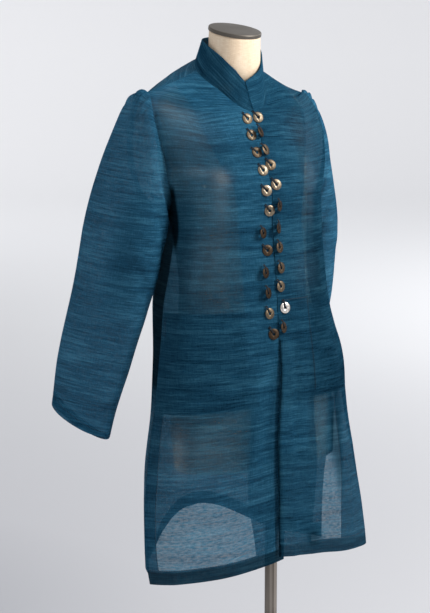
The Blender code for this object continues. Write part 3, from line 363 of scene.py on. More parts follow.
def curve_points(part, side, level):
    ends = controls(part, side, level)
    return [arc(*ends, k / ROW_SAMPLES) for k in range(ROW_SAMPLES + 1)]


# Fine steps of the cloth, and the rows and columns where inner layers start
ROWS = {"hem": 6, "skirt": 62, "pocket": 38, "chest": 44, "armhole": 44, "yoke": 26}
FACING_END = 18
SLIT_START = FACING_END + 34
SIDE_EDGE = SLIT_START + 24
BACK_COLUMNS = 64
HEM_ROW = ROWS["hem"]
SLIT_ROW = HEM_ROW + ROWS["skirt"]
POCKET_ROW = SLIT_ROW + ROWS["pocket"]
ARMPIT_ROW = POCKET_ROW + ROWS["chest"]
NECK_ROW = ARMPIT_ROW + ROWS["armhole"]
SLIT_SHARE = 0.60        # the slit facing takes no more than this of what the front facing leaves


def levels():
    """Rows of the body panels, from the hem to the shoulder seam."""
    marks = [0.0] + [body_level(height) for height in (HEM + HEM_TURN_UP, SLIT_TOP, POCKET_TOP)]
    marks += [1.0, 1.0 + NECK_SHARE, 2.0]
    rows = []
    for low, high, count in zip(marks, marks[1:], ROWS.values()):
        rows += steps(low, high, count)
    return rows + [2.0]


def front_columns(points, side):
    """Lengths along a front's row: under the facing, then to the slit facing, then to the seam."""
    lengths = lengths_along(points)
    whole = lengths[-1]
    edge = 0.0
    for a, b, low, high in zip(points, points[1:], lengths, lengths[1:]):
        gap_low = FACING_EDGE.at(a.z, "x") - a.x
        gap_high = FACING_EDGE.at(b.z, "x") - b.x
        if gap_low >= 0.0 > gap_high:
            edge = mix(low, high, gap_low / (gap_low - gap_high))
    slit = whole - min(SLIT_FACING[side], (whole - edge) * SLIT_SHARE)
    return (steps(0.0, edge, FACING_END) + steps(edge, slit, SLIT_START - FACING_END)
            + steps(slit, whole, SIDE_EDGE - SLIT_START) + [whole])


def front_row(level, side):
    """The weft hangs lower towards the side seams, most at the hem."""
    path = curve_points("front", side, level)
    goals = front_columns(path, side)
    points = at_lengths(path, goals)
    hem = FRONT_HEM[side]
    low = 1.0 - ramp(level, 0.0, HANG_END)
    skirt = 1.0 - ramp(level, 0.0, body_level(SLIT_TOP))
    for goal, point in zip(goals, points):
        share = goal / goals[-1]
        point.z += hem["rise"] * low * (1.0 - share) ** hem["power"] - hem["drop"] * skirt * share
        point.x += hem["flare"] * skirt * share ** 2
        point.y -= skirt_wave("front", side, level, share)
    return points


def back_row(level, side):
    path = curve_points("back", side, level)
    whole = lengths_along(path)[-1]
    points = at_lengths(path, steps(0.0, whole, BACK_COLUMNS) + [whole])
    low = 1.0 - ramp(level, 0.0, body_level(SLIT_TOP))
    for k, point in enumerate(points):
        share = k / BACK_COLUMNS
        lift = math.cos(math.pi / 2 * min(1.0, share * BACK_HEM_SPREAD)) ** 2
        point.z += low * (BACK_HEM_RISE * lift - BACK_HEM_DROP * share)
        point.y += skirt_wave("back", side, level, share)
    return points


def pocket_mouth(level):
    """1 where the pocket's mouth is widest in the side seam, 0 beyond its ends."""
    share = (mix(HEM, ARMPIT, level) - SLIT_TOP) / (POCKET_TOP - SLIT_TOP)
    return math.sin(math.pi * share) ** 0.7 if 0.0 < share < 1.0 else 0.0


LIFT_ACROSS = (0.010, 0.040)
LIFT_AT_DISCS = 0.0016       # it lies closer where the discs hold it
LIFT_BELOW = 0.0062
LIFT_FADE = (0.86, 0.94)


def lift_left(point):
    """The left front's edge lies over the right front, and comes down beyond it."""
    closed = mix(LIFT_BELOW, LIFT_AT_DISCS, ramp(point.z, *LIFT_FADE))
    point.y -= closed * (1.0 - ramp(point.x, *LIFT_ACROSS))


# Sleeves

CAP_SHARE = 0.4          # share of the sleeve's rows above its first full section
# How far the cuff's back edge is lifted and its front edge dropped, how far its outer side is
# lifted and its inner side dropped, and how far both sides sag between the edges
CUFF_SLANT = {"edges": 0.015, "sides": 0.008, "sag": 0.022}
ARM_CENTRE = Vector((0.19, 0.147, 1.30))
SIDE_SEAM_TURN = -149.0  # the side seam meets the armhole low in front
HEAD_LEAN = 0.070        # the sleeve head sets off backwards
SLEEVE_TWIST = 18.0      # the inner side of a section lies this far round to the front

# How the sleeve head leaves the armhole, at its top, under the arm and behind
HEAD_OUT = {"under": 0.30, "top": 1.00}
HEAD_DOWN = 0.35
HEAD_SPREAD = {"all": 0.22, "behind": 0.30}
HEAD_REACH = {"under": 0.75, "top": 0.40, "behind": 0.15}
HEAD_ARRIVE = {"under": 0.9, "top": 1.0}


def armhole_point(turn):
    """Round the armhole: 0 at the shoulder seam, negative in front, down to the side seam."""
    if SIDE_SEAM_TURN < turn < 0.0:
        return table_point(ARMHOLE_FRONT, 1.0 - turn / SIDE_SEAM_TURN)
    return table_point(ARMHOLE_BACK, 1.0 - turn % 360.0 / (360.0 + SIDE_SEAM_TURN))


def sleeve_middle(height):
    return Vector((SLEEVE.at(height, "x"), SLEEVE.at(height, "y"), height))


def sleeve_section_point(height, turn):
    """A point of the sleeve's section: turn 0 is its outer side and -90 its front edge."""
    axis = (sleeve_middle(height + 0.01) - sleeve_middle(height - 0.01)).normalized()
    swing = math.radians(SLEEVE_TURN)
    outward = Vector((math.cos(swing), -math.sin(swing), 0.0))
    backward = Vector((math.sin(swing), math.cos(swing), 0.0))
    outward = (outward - axis * outward.dot(axis)).normalized()
    backward = (backward - axis * backward.dot(axis) - outward * backward.dot(outward)).normalized()
    angle = math.radians(turn + SLEEVE_TWIST * math.sin(math.radians(turn / 2.0)) ** 2)
    low = smooth((SLEEVE_TOP - height) / (SLEEVE_TOP - CUFF_HEIGHT))
    slant = (CUFF_SLANT["edges"] * math.sin(angle) + CUFF_SLANT["sides"] * math.cos(angle)
             - CUFF_SLANT["sag"] * abs(math.cos(angle)))
    return (sleeve_middle(height) + outward * (SLEEVE.at(height, "side") * math.cos(angle))
            + backward * (SLEEVE.at(height, "front_back") * math.sin(angle))
            + Vector((0.0, 0.0, slant * low)))


def cap_point(turn, share):
    """From the armhole (0) over the gathered head to the first full section (1)."""
    start = armhole_point(turn)
    end = sleeve_section_point(SLEEVE_TOP, turn)
    top = math.cos(math.radians(turn / 2.0)) ** 2
    reach = (end - start).length
    radial = Vector((0.0, start.y - ARM_CENTRE.y, start.z - ARM_CENTRE.z)).normalized()
    back = math.sin(math.radians(turn)) if 0.0 < turn < 180.0 else 0.0
    leave = Vector((mix(HEAD_OUT["under"], HEAD_OUT["top"], top), 0.0, -HEAD_DOWN * (1.0 - top)))
    leave += radial * (HEAD_SPREAD["all"] + HEAD_SPREAD["behind"] * back)
    leave = leave.normalized() * reach
    leave *= mix(HEAD_REACH["under"], HEAD_REACH["top"], top) + HEAD_REACH["behind"] * back
    leave.y += HEAD_LEAN * top
    arrive = (sleeve_middle(SLEEVE_TOP - 0.02) - sleeve_middle(SLEEVE_TOP)).normalized()
    arrive = arrive * reach * mix(HEAD_ARRIVE["under"], HEAD_ARRIVE["top"], top)
    return hermite(start, leave, end, arrive, share)


def sleeve_point(turn, share):
    """share 0 is the armhole, CAP_SHARE the first full section and 1 the cuff."""
    if share <= CAP_SHARE:
        return cap_point(turn, share / CAP_SHARE)
    height = mix(SLEEVE_TOP, CUFF_HEIGHT, (share - CAP_SHARE) / (1.0 - CAP_SHARE))
    return sleeve_section_point(height, turn)


# Cloth as fine grids of points, rows by columns, in numpy arrays

SLEEVE_SIDES = 112
SLEEVE_ROWS = {"cap": 50, "arm": 84, "cuff": 5}
CAP_ROW = SLEEVE_ROWS["cap"]
CUFF_ROW = CAP_ROW + SLEEVE_ROWS["arm"]
SLEEVE_PER_TURN = 0.00125    # metres round a sleeve for each degree
COLLAR_FINE = 64
COLLAR_ROWS = 14
UNDER = 0.0009               # inner layers lie this far under a panel
COLLAR_DEPTH = 0.0021
BAG_DEPTH = 0.0032
SEAM_RISE = 0.0009           # the cloth stands this much higher beside a seam
SEAM_WIDTH = 0.0030
ALLOWANCE = 0.011            # seam allowance that shows through beside a seam
EDGE_KEEP = 0.014            # folds fade out this near to a seam


def as_grid(rows):
    return np.array([[tuple(point) for point in row] for row in rows])


def rise(values, start, width):
    """0 up to start, then a soft rise to 1 over width."""
    share = np.clip((values - start) / width, 0.0, 1.0)
    return share * share * (3.0 - 2.0 * share)


def fall(values, end, width):
    """0 from end on, and 1 where the values are lower than that by width."""
    return rise(-values, -end, width)


def band(across, up, sizes):
    """1 beside an edge and between two heights: where it ends across, starts and ends up, each
    with its width."""
    return fall(across, *sizes[0]) * rise(up, *sizes[1]) * fall(up, *sizes[2])


def front_base(side):
    rows = []
    for level in levels():
        row = front_row(level, side)
        spread = POCKET_SPREAD[side] * pocket_mouth(level)
        for k, point in enumerate(row):
            share = ramp(k / SIDE_EDGE, 0.85, 1.0) * spread
            point += Vector((share, -share * 0.5, 0.0))
            if side == "left":
                lift_left(point)
        rows.append([settled(point, side) for point in row])
    return as_grid(rows)


def back_base():
    right, left = [as_grid([[settled(point, side) for point in back_row(level, side)] for level in levels()])
                   for side in ("right", "left")]
    return np.concatenate((right[:, ::-1], left), axis=1)


def sleeve_base(side):
    turn_up = CUFF_TURN_UP / (SLEEVE_TOP - CUFF_HEIGHT) * (1.0 - CAP_SHARE)
    shares = (steps(0.0, CAP_SHARE, CAP_ROW) + steps(CAP_SHARE, 1.0 - turn_up, SLEEVE_ROWS["arm"])
              + steps(1.0 - turn_up, 1.0, SLEEVE_ROWS["cuff"]) + [1.0])
    rows = []
    for share in shares:
        ring = [sleeve_point(SIDE_SEAM_TURN + 360.0 * k / SLEEVE_SIDES, share) for k in range(SLEEVE_SIDES)]
        if side == "left":
            for point in ring:
                point.x -= LEFT_SLEEVE_IN * ramp(share, *SLEEVE_IN_SHARES)
        rows.append([settled(point, side) for point in ring])
    return as_grid(rows)


def collar_base():
    stations = [("right", turn) for turn in steps(0.0, 180.0, COLLAR_FINE)]
    stations += [("left", turn) for turn in steps(180.0, 0.0, COLLAR_FINE) + [0.0]]
    rows = []
    for k in range(COLLAR_ROWS + 1):
        share = k / COLLAR_ROWS
        row = []
        for side, turn in stations:
            point = table_point(NECKLINE, turn).lerp(table_point(COLLAR_TOP, turn), share)
            point.x -= mix(*COLLAR_CROSS, share) * max(0.0, 1.0 - turn / FRONT_TURN) * side_sign(side)
            if side == "left":
                lift_left(point)
            row.append(Vector((point.x * side_sign(side), point.y, point.z)))
        rows.append(row)
    return as_grid(rows)


def grid_normals(grid, outside, ring=False):
    """Unit normals that point out of the cloth's outer face."""
    across = np.roll(grid, -1, 1) - np.roll(grid, 1, 1) if ring else np.gradient(grid, axis=1)
    found = np.cross(across, np.gradient(grid, axis=0)) * outside
    return found / np.linalg.norm(found, axis=2, keepdims=True)


def lengths_across(grid):
    strides = np.linalg.norm(np.diff(grid, axis=1), axis=2)
    return np.concatenate((np.zeros((len(grid), 1)), np.cumsum(strides, axis=1)), axis=1)


def lengths_down(grid):
    return lengths_across(grid.swapaxes(0, 1)).swapaxes(0, 1)


def body_places(grid):
    """Where each point of a panel lies in the flat cloth: across from its first edge, and along."""
    along = lengths_down(grid)
    heights = np.array([mix(HEM, ARMPIT, level) for level in levels()])[:, None]
    rows = np.arange(len(grid))[:, None]
    return lengths_across(grid), np.where(rows <= ARMPIT_ROW, heights, ARMPIT + along - along[ARMPIT_ROW])


def soft_folds(u, v, folds, wrap=None):
    """Sum of soft ridges and troughs, each between two places, as high and as wide as its row says."""
    total = np.zeros_like(u)
    for u0, v0, u1, v1, height, width in folds:
        du, dv = u1 - u0, v1 - v0
        out = u - u0
        if wrap:
            out = (out + wrap / 2.0) % wrap - wrap / 2.0
        t = (out * du + (v - v0) * dv) / (du * du + dv * dv)
        off = (out - t * du) ** 2 + (v - v0 - t * dv) ** 2
        total += height * np.exp(-off / width ** 2) * rise(t, -0.25, 0.5) * fall(t, 1.25, 0.5)
    return total


def rumple(grid, seed, size, height):
    """Gentle unevenness that follows the cloth's own points."""
    values = [noise.noise(Vector((x / size, y / size, z / size * 0.45)) + Vector((seed, 0.0, 0.0)))
              for x, y, z in grid.reshape(-1, 3)]
    return height * np.array(values).reshape(grid.shape[:2])


def near_seams(u, v, *seams):
    """Distance from the nearest seam: the shoulder's, or one that starts at a row."""
    distance = np.minimum(v[-1:] - v, 1.0)
    rows = np.arange(len(u))[:, None]
    for first_row, away in seams:
        distance = np.minimum(distance, np.where(rows >= first_row, away, 1.0))
    return distance


def seam_rise(distance):
    return SEAM_RISE * (1.0 - np.exp(-(distance / SEAM_WIDTH) ** 2))


def dressed(grid, outside, u, v, folds, distance, seed):
    """The grid with its own folds, and with a dip along its seams."""
    height = soft_folds(u, v, folds)
    height = height + rumple(grid, seed, 0.060, 0.0016) + rumple(grid, seed + 5.0, 0.022, 0.00045)
    height = height * rise(distance, 0.0, EDGE_KEEP) + seam_rise(distance)
    return grid + grid_normals(grid, outside) * height[..., None]


def turned_in(grid, normals, depth=UNDER):
    """A layer that starts at the first row, folds round it and runs on under the other rows."""
    edge = grid[0]
    out = edge - grid[1]
    out = out / np.linalg.norm(out, axis=1, keepdims=True)
    middle = edge + out * depth * 0.5 - normals[0] * depth * 0.5
    return np.concatenate((edge[None], middle[None], grid - normals * depth))


def fold_edge(array):
    """The first row three times over, to go with a layer that is turned in."""
    return np.concatenate((array[:1], array[:1], array))


def sideways(array):
    return array.swapaxes(0, 1)


def flipped(array):
    """Rows for columns, last column first."""
    return sideways(array)[::-1]


# Making the pieces

def placed(name, mesh, finish, smooth_shade=True, sharp=None):
    """A mesh as a piece of the coat or the form; sharp is the angle from which its edges stay sharp."""
    mesh.materials.append(finish)
    if smooth_shade:
        mesh.shade_smooth()
    if sharp:
        mesh.set_sharp_from_angle(angle=math.radians(sharp))
    piece = added(name, mesh)
    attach(piece, "root")
    return piece


def cloth(name, grid, finish, u, v, outside=1.0, ring=False, skip=None, **marks):
    """One sheet of cloth as a mesh, with its weave's own directions kept in a UV map."""
    rows, columns = grid.shape[:2]
    j, k = np.meshgrid(np.arange(rows - 1), np.arange(columns if ring else columns - 1), indexing="ij")
    keep = k != skip
    j, k = j[keep], k[keep]
    corners = [(j, k), (j, k + 1), (j + 1, k + 1), (j + 1, k)]
    if outside < 0.0:
        corners = corners[::-1]
    faces = np.stack([row * columns + column % columns for row, column in corners], axis=1)
    mesh = bpy.data.meshes.new(name)
    mesh.from_pydata(grid.reshape(-1, 3).tolist(), [], faces.tolist())
    places = np.stack([np.stack((u[row, column], v[row, column % v.shape[1]]), axis=1)
                       for row, column in corners], axis=1)
    mesh.uv_layers.new(name="weave").data.foreach_set("uv", places.astype(np.float32).ravel())
    for key in ("dense", "touch", "shade"):
        values = np.broadcast_to(marks.get(key, 0.0), (rows, columns)).astype(np.float32)
        mesh.attributes.new(key, "FLOAT", "POINT").data.foreach_set("value", values.ravel())
    return placed(name, mesh, finish)


def fitted(piece, node):
    """Hides the CAD node that the piece stands in for, and gives the piece back."""
    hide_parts(node)
    return piece


def layer(node, grid, u, v, outside, ring=False):
    """An inner layer of cloth, which rests on its panel."""
    fitted(cloth(node + "_silk", grid, FOLD_SILK, u, v, outside, ring), node)


def edited(mesh, change):
    """Runs one bmesh operation on a finished mesh."""
    bm = bmesh.new()
    bm.from_mesh(mesh)
    change(bm)
    bm.to_mesh(mesh)
    bm.free()


def mesh_from(bm, name):
    mesh = bpy.data.meshes.new(name)
    bm.to_mesh(mesh)
    bm.free()
    return mesh


def beside_seam(distance):
    """1 where a seam allowance shows through."""
    return (distance < ALLOWANCE).astype(float)


def patches(u, v, table):
    """The sum of soft patches on a front: highest in the middle of each, 0 away from them."""
    total = np.zeros(u.shape)
    for across, up, wide, high, strength in table:
        total += strength * np.exp(-((u - across) / wide) ** 2 - ((v - up) / high) ** 2)
    return total


# Where the fronts rest on the torso, which shows through more there and is painted in as lighter
# linen colour, painted light: across from the centre front, height, half width, half height, strength
CONTACTS = {
    "right": (
        (0.165, 1.385, 0.035, 0.022, 0.22), (0.15, 1.35, 0.05, 0.04, 0.12),
        (0.11, 1.252, 0.016, 0.017, 0.62), (0.15, 1.264, 0.038, 0.01, 0.22),
        (0.116, 1.205, 0.014, 0.045, 0.2), (0.16, 1.06, 0.045, 0.045, 0.08),
        (0.14, 1.12, 0.035, 0.03, 0.08), (0.226, 0.725, 0.011, 0.042, 0.34), (0.18, 0.72, 0.05, 0.04, 0.1)),
    "left": (
        (0.11, 1.34, 0.035, 0.04, 0.16), (0.115, 1.255, 0.018, 0.03, 0.3),
        (0.105, 1.19, 0.014, 0.05, 0.22), (0.09, 1.06, 0.04, 0.04, 0.12), (0.13, 0.74, 0.03, 0.045, 0.05))}
# Places on a front painted darker and made denser, as painted shade: the same columns
SHADE_PATCHES = {
    "right": (),
    "left": (
        (0.125, 1.08, 0.03, 0.11, 1.6), (0.182, 0.722, 0.016, 0.055, 5.0),
        (0.192, 0.64, 0.008, 0.045, 2.5), (0.104, 0.502, 0.02, 0.014, 4.0))}

# Soft folds of the panels: across from the centre front or the first edge, height, the other
# end, how far it stands out (a ridge) or in (a trough), and its half width. All in metres.
FOLDS = {
    "right": (
        (0.03, 0.88, 0.05, 0.7, -0.004, 0.011), (0.062, 0.9, 0.078, 0.64, 0.0035, 0.014),
        (0.12, 0.76, 0.135, 0.56, -0.003, 0.018), (0.19, 0.78, 0.215, 0.52, 0.003, 0.02),
        (0.105, 1.3, 0.165, 1.215, -0.0022, 0.012), (0.09, 1.18, 0.16, 1.19, 0.002, 0.016),
        (0.15, 1.12, 0.175, 1.02, -0.0022, 0.012), (0.11, 1.06, 0.18, 0.99, 0.0018, 0.014),
        (0.05, 1.02, 0.12, 0.96, -0.0016, 0.014)),
    "left": (
        (0.042, 0.9, 0.052, 0.7, -0.0035, 0.01), (0.09, 0.92, 0.118, 0.64, 0.004, 0.013),
        (0.15, 0.86, 0.185, 0.56, -0.0045, 0.015), (0.205, 0.8, 0.235, 0.52, 0.004, 0.015),
        (0.1, 1.31, 0.16, 1.225, -0.0022, 0.012), (0.08, 1.2, 0.15, 1.17, 0.002, 0.016),
        (0.13, 1.13, 0.165, 1.03, -0.0022, 0.013), (0.06, 1.06, 0.13, 0.99, 0.0018, 0.015)),
    "back": (
        (0.2, 0.9, 0.15, 0.52, -0.0045, 0.02), (0.27, 0.85, 0.26, 0.52, 0.004, 0.022),
        (0.36, 0.9, 0.38, 0.52, -0.0045, 0.022), (0.46, 0.88, 0.5, 0.52, 0.004, 0.02),
        (0.1, 1.16, 0.22, 1.06, -0.0025, 0.016), (0.12, 1.1, 0.24, 1.0, 0.0022, 0.016),
        (0.46, 1.15, 0.36, 1.06, -0.0025, 0.016), (0.3, 1.33, 0.3, 1.2, 0.0018, 0.02))}
# The same on a sleeve: turn in degrees, then metres up from the first full section
SLEEVE_FOLDS = (
    (-80.0, 0.06, -125.0, -0.04, -0.004, 0.014), (-95.0, 0.1, -140.0, 0.01, 0.003, 0.012),
    (-60.0, -0.06, -110.0, -0.14, -0.003, 0.016), (-40.0, -0.02, -95.0, -0.1, 0.0025, 0.016),
    (110.0, 0.04, 160.0, -0.06, -0.004, 0.016), (90.0, -0.02, 140.0, -0.12, 0.003, 0.016),
    (-20.0, -0.18, -60.0, -0.33, -0.0022, 0.018), (30.0, -0.12, 60.0, -0.32, 0.0022, 0.02))
# Gathers of the sleeve head: turn, length down from the seam, depth
GATHERS = (
    (-33.0, 0.052, -0.0046), (-25.0, 0.04, 0.0036), (-18.0, 0.064, -0.0056), (-11.5, 0.045, 0.004),
    (-5.0, 0.056, -0.0048), (1.0, 0.04, 0.0034), (7.0, 0.06, -0.0052), (14.0, 0.042, 0.0036),
    (20.0, 0.056, -0.0042), (28.0, 0.038, 0.0024), (36.0, 0.048, -0.003))
# Fullness between the gathers: turn, length down from the seam, how far out, half sizes
PUFFS = (
    (12.0, 0.022, 0.0075, 12.0, 0.022), (-4.0, 0.016, 0.004, 9.0, 0.016),
    (30.0, 0.026, 0.0035, 12.0, 0.022))

# The back's near edge, where it is brought in and forward under the front
CLOSED_BAND = ((0.006, 0.006), (0.56, 0.05), (0.92, 0.05))
CLOSED_SHIFT = {"in": 0.0025, "forward": 0.0070}
BACK_BAND = ((0.075, 0.030), (0.80, 0.06), (1.26, 0.05))    # under the arms
ARM_INNER = ((62.0, 30.0), (0.30, 0.12))    # a sleeve's side towards the body: turns, lengths down
# Painted shade on a sleeve's side towards the body, and painted light that makes the whole sleeve lighter
INNER_SHADE = 1.25
SLEEVE_SHADE = -0.36             # the whole sleeve is lighter
SLEEVE_DENSE = 0.35

STITCH = {"length": 0.0034, "gap": 0.0014, "width": 0.0012, "height": 0.0004}
# Where the left pocket bag is caught to the front
BAG_COLUMN = FACING_END + 2
BAG_TOP_ROW = POCKET_ROW + 3
# Rows and columns of the small U of stitches at the right pocket's mouth
TACK_ROWS = (POCKET_ROW - 9, POCKET_ROW - 2)
TACK_COLUMNS = (SLIT_START + 12, SLIT_START + 16)

# Painted light and shade on the panels, as places, widths and strengths
# Painted shade at the hem, and on each whole front
HEM_SHADE = {"right": 0.72, "left": 0.32}
WHOLE_SHADE = {"right": 0.0, "left": 0.26}
ON_FORM = {"up": (0.68, 0.02), "across": (0.075, 0.02), "shade": 0.20}    # over the torso
# Painted shade on the front beside the side seam, under the arm
SIDE_BAND = ((0.060, 0.035), (0.97, 0.02), (1.24, 0.06))
SIDE_SHADE = 0.16
# The shadow of the arm on the cloth beside each side seam
ARM_GAP = {"right": ((0.017, 0.008), (1.10, 0.030), (1.245, 0.020)),
           "left": ((0.017, 0.008), (0.985, 0.030), (1.165, 0.020))}
GAP_SHADE = 0.95
DEEPER_SHADE = (0.14, 0.45)      # for each unit of a darker place, and at most
BAG_SHADE = {"edge": 0.45, "top": 0.28}    # the lines where the left bag is caught down
EDGE_SHADE = {"at_edge": 0.95, "each_column": 0.70, "top": 0.92}    # the left front's own edge
# Places painted brighter, as painted light: where one starts, over what height it comes in, how bright it is,
# and where it ends
BRIGHT = {"right": ((1.02, 0.20, 0.18, 9.0), (1.30, 0.06, 0.24, 9.0)),
          "left": ((1.02, 0.20, 0.18, 9.0), (0.68, 0.02, 0.20, 0.80))}
FRONT_SEED = {"right": 11.0, "left": 23.0}
SLEEVE_SEED = {"right": 3.0, "left": 47.0}


def stitched(name, line, normals):
    """A row of stitches along a line that lies on the cloth."""
    along = np.concatenate(([0.0], np.cumsum(np.linalg.norm(np.diff(line, axis=0), axis=1))))
    bm = bmesh.new()
    for start in np.arange(0.0, along[-1] - STITCH["length"], STITCH["length"] + STITCH["gap"]):
        places = (start, start + STITCH["length"])
        ends, ups = [[Vector([np.interp(place, along, array[:, axis]) for axis in range(3)])
                      for place in places] for array in (line, normals)]
        across = (ends[1] - ends[0]).cross(ups[0].normalized()).normalized() * STITCH["width"] / 2.0
        a, b = [[bm.verts.new(end - across), bm.verts.new(end + up.normalized() * STITCH["height"]),
                 bm.verts.new(end + across)] for end, up in zip(ends, ups)]
        bm.faces.new((a[0], a[1], b[1], b[0]))
        bm.faces.new((a[1], a[2], b[2], b[1]))
    placed(name, mesh_from(bm, name), STITCHING, smooth_shade=False)


def make_front(side):
    outside = side_sign(side)
    base = front_base(side)
    u, v = body_places(base)
    from_side = u[:, -1:] - u
    distance = near_seams(u, v, (SLIT_ROW, from_side), (NECK_ROW, u))
    grid = dressed(base, outside, u, v, FOLDS[side], np.minimum(distance, u + 0.002), FRONT_SEED[side])
    normals = grid_normals(grid, outside)
    # Painted shade: the cloth over the torso is painted darker, and so is the hem, which is double cloth and
    # curves away from the light
    on_form = rise(v, *ON_FORM["up"]) * rise(u, *ON_FORM["across"])
    # Painted light: the upper front is painted brighter
    bright = sum(strength * rise(v, start, width) * fall(v, end, 0.03)
                 for start, width, strength, end in BRIGHT[side])
    hem = HEM_SHADE[side] * fall(v, HEM + HEM_TURN_UP, 0.002)
    beside = band(from_side, v, SIDE_BAND)
    gap = band(from_side, v, ARM_GAP[side])
    # Painted shade patches
    shade_patches = patches(u, v, SHADE_PATCHES[side])
    each, most = DEEPER_SHADE
    shade = (ON_FORM["shade"] * on_form - bright + hem + SIDE_SHADE * beside + GAP_SHADE * gap
             + WHOLE_SHADE[side] + np.minimum(each * shade_patches, most))
    if side == "left":
        # Painted shade: dark lines where the bag's front edge and top are caught down, and a painted
        # shadow of the gap at the front's own edge below the discs
        rows, columns = np.indices(u.shape)
        caught = (columns == BAG_COLUMN) & (rows > SLIT_ROW + 2) & (rows <= BAG_TOP_ROW)
        shade += BAG_SHADE["edge"] * caught
        shade += BAG_SHADE["top"] * ((rows == BAG_TOP_ROW) & (columns > 2) & (columns < BAG_COLUMN))
        dark = np.maximum(EDGE_SHADE["at_edge"] - EDGE_SHADE["each_column"] * columns, 0.0)
        shade += np.where(v < EDGE_SHADE["top"], dark, 0.0)
    front = cloth(f"front_{side}_silk", grid, SILK, u + 0.5 * outside, v, outside,
                  dense=np.maximum(beside_seam(distance), beside * 1.3) + shade_patches + 3.0 * gap + hem,
                  touch=patches(u, v, CONTACTS[side]), shade=shade)
    fitted(front, f"front_{side}")

    def under(node, region, order, across, along, out=outside):
        """A layer that folds round the first row of a part of the front, once that is put in order."""
        layer(f"{node}_{side}", turned_in(order(grid[region]), order(normals[region])),
              fold_edge(order(u[region])) + across + 0.5 * outside,
              along * fold_edge(order(v[region])), out)

    def sewn(name, region):
        stitched(name, grid[region], normals[region])

    under("front_facing", np.s_[:, :FACING_END + 1], sideways, 0.13, 1.0, -outside)
    under("hem_turn_up", np.s_[:HEM_ROW + 1, FACING_END:], np.asarray, 0.0, -1.0)
    under("slit_facing", np.s_[HEM_ROW:SLIT_ROW + 1, SLIT_START:], flipped, 0.31, 1.0)
    # Pocket bag: two leaves with a fold at the bottom
    region = np.s_[SLIT_ROW:POCKET_ROW + 1, FACING_END:]
    upper, lower = [grid[region] - normals[region] * depth for depth in (UNDER, BAG_DEPTH)]
    middle = (upper[:1] + lower[:1]) / 2.0 - (upper[1:2] - upper[:1]) * 0.3
    bag_u = np.concatenate((u[region][::-1], u[region][:1], u[region]))
    bag_v = np.concatenate((v[region][::-1], v[region][:1], 2.0 * v[SLIT_ROW, 0] - v[region]))
    layer(f"pocket_bag_{side}", np.concatenate((upper[::-1], middle, lower)),
          bag_u + 0.07 + 0.5 * outside, bag_v + 0.21, -outside)
    # Stitch lines: turn-up, slit facing, and where the pocket is caught to the front
    sewn(f"stitches_hem_{side}", np.s_[HEM_ROW, FACING_END:])
    sewn(f"stitches_slit_{side}", np.s_[HEM_ROW:SLIT_ROW, SLIT_START])
    if side == "left":
        sewn("stitches_pocket_left", np.s_[SLIT_ROW + 3:BAG_TOP_ROW + 1, BAG_COLUMN])
        sewn("stitches_pocket_top", np.s_[BAG_TOP_ROW, 2:BAG_COLUMN])
    else:
        bottom, top = TACK_ROWS
        first, last = TACK_COLUMNS
        tack = [(row, first) for row in range(top, bottom, -1)]
        tack += [(bottom, column) for column in range(first, last)]
        tack += [(row, last) for row in range(bottom, top)]
        sewn("stitches_tack_right", tuple(np.array(tack).T))
    return front


def make_back():
    base = back_base()
    u, v = body_places(base)
    from_side = np.minimum(u, u[:, -1:] - u)
    from_centre = np.abs(u - u[:, BACK_COLUMNS:BACK_COLUMNS + 1])
    distance = near_seams(u, v, (SLIT_ROW, from_side), (NECK_ROW, from_centre))
    grid = dressed(base, -1.0, u, v, FOLDS["back"], distance, 37.0)
    # The halves meet at the centre, up to the neck
    centre = np.s_[:NECK_ROW + 1, BACK_COLUMNS:BACK_COLUMNS + 2]
    grid[centre] = grid[centre].mean(axis=1, keepdims=True)
    # The near edge comes forward under the front, so that the slit there shows no daylight
    closed = band(u, v, CLOSED_BAND)
    grid[..., 0] += CLOSED_SHIFT["in"] * closed
    grid[..., 1] -= CLOSED_SHIFT["forward"] * closed
    # Beside the side seams the back turns away from the light, under the sleeves; there it is painted darker
    # and denser, as painted shade
    beside = band(from_side, v, BACK_BAND)
    # Painted shade: the colour is darker beside the side seams and along the near edge at the slit
    back = cloth("back_silk", grid, SILK, u + 1.7, v, -1.0, skip=BACK_COLUMNS,
                 dense=np.maximum(beside_seam(distance), beside * 4.0), shade=np.maximum(beside, closed))
    edited(back.data, lambda bm: bmesh.ops.remove_doubles(bm, verts=bm.verts, dist=0.00002))
    fitted(back, "back")
    part, part_normals, part_u, part_v = [np.delete(array[:HEM_ROW + 1], BACK_COLUMNS, axis=1)
                                          for array in (grid, grid_normals(grid, -1.0), u, v)]
    layer("hem_turn_up_back", turned_in(part, part_normals), fold_edge(part_u) + 1.7,
          -fold_edge(part_v), -1.0)
    stitched("stitches_hem_back", part[HEM_ROW], part_normals[HEM_ROW])


def turned_from(turns, turn):
    return (turns - turn + 180.0) % 360.0 - 180.0


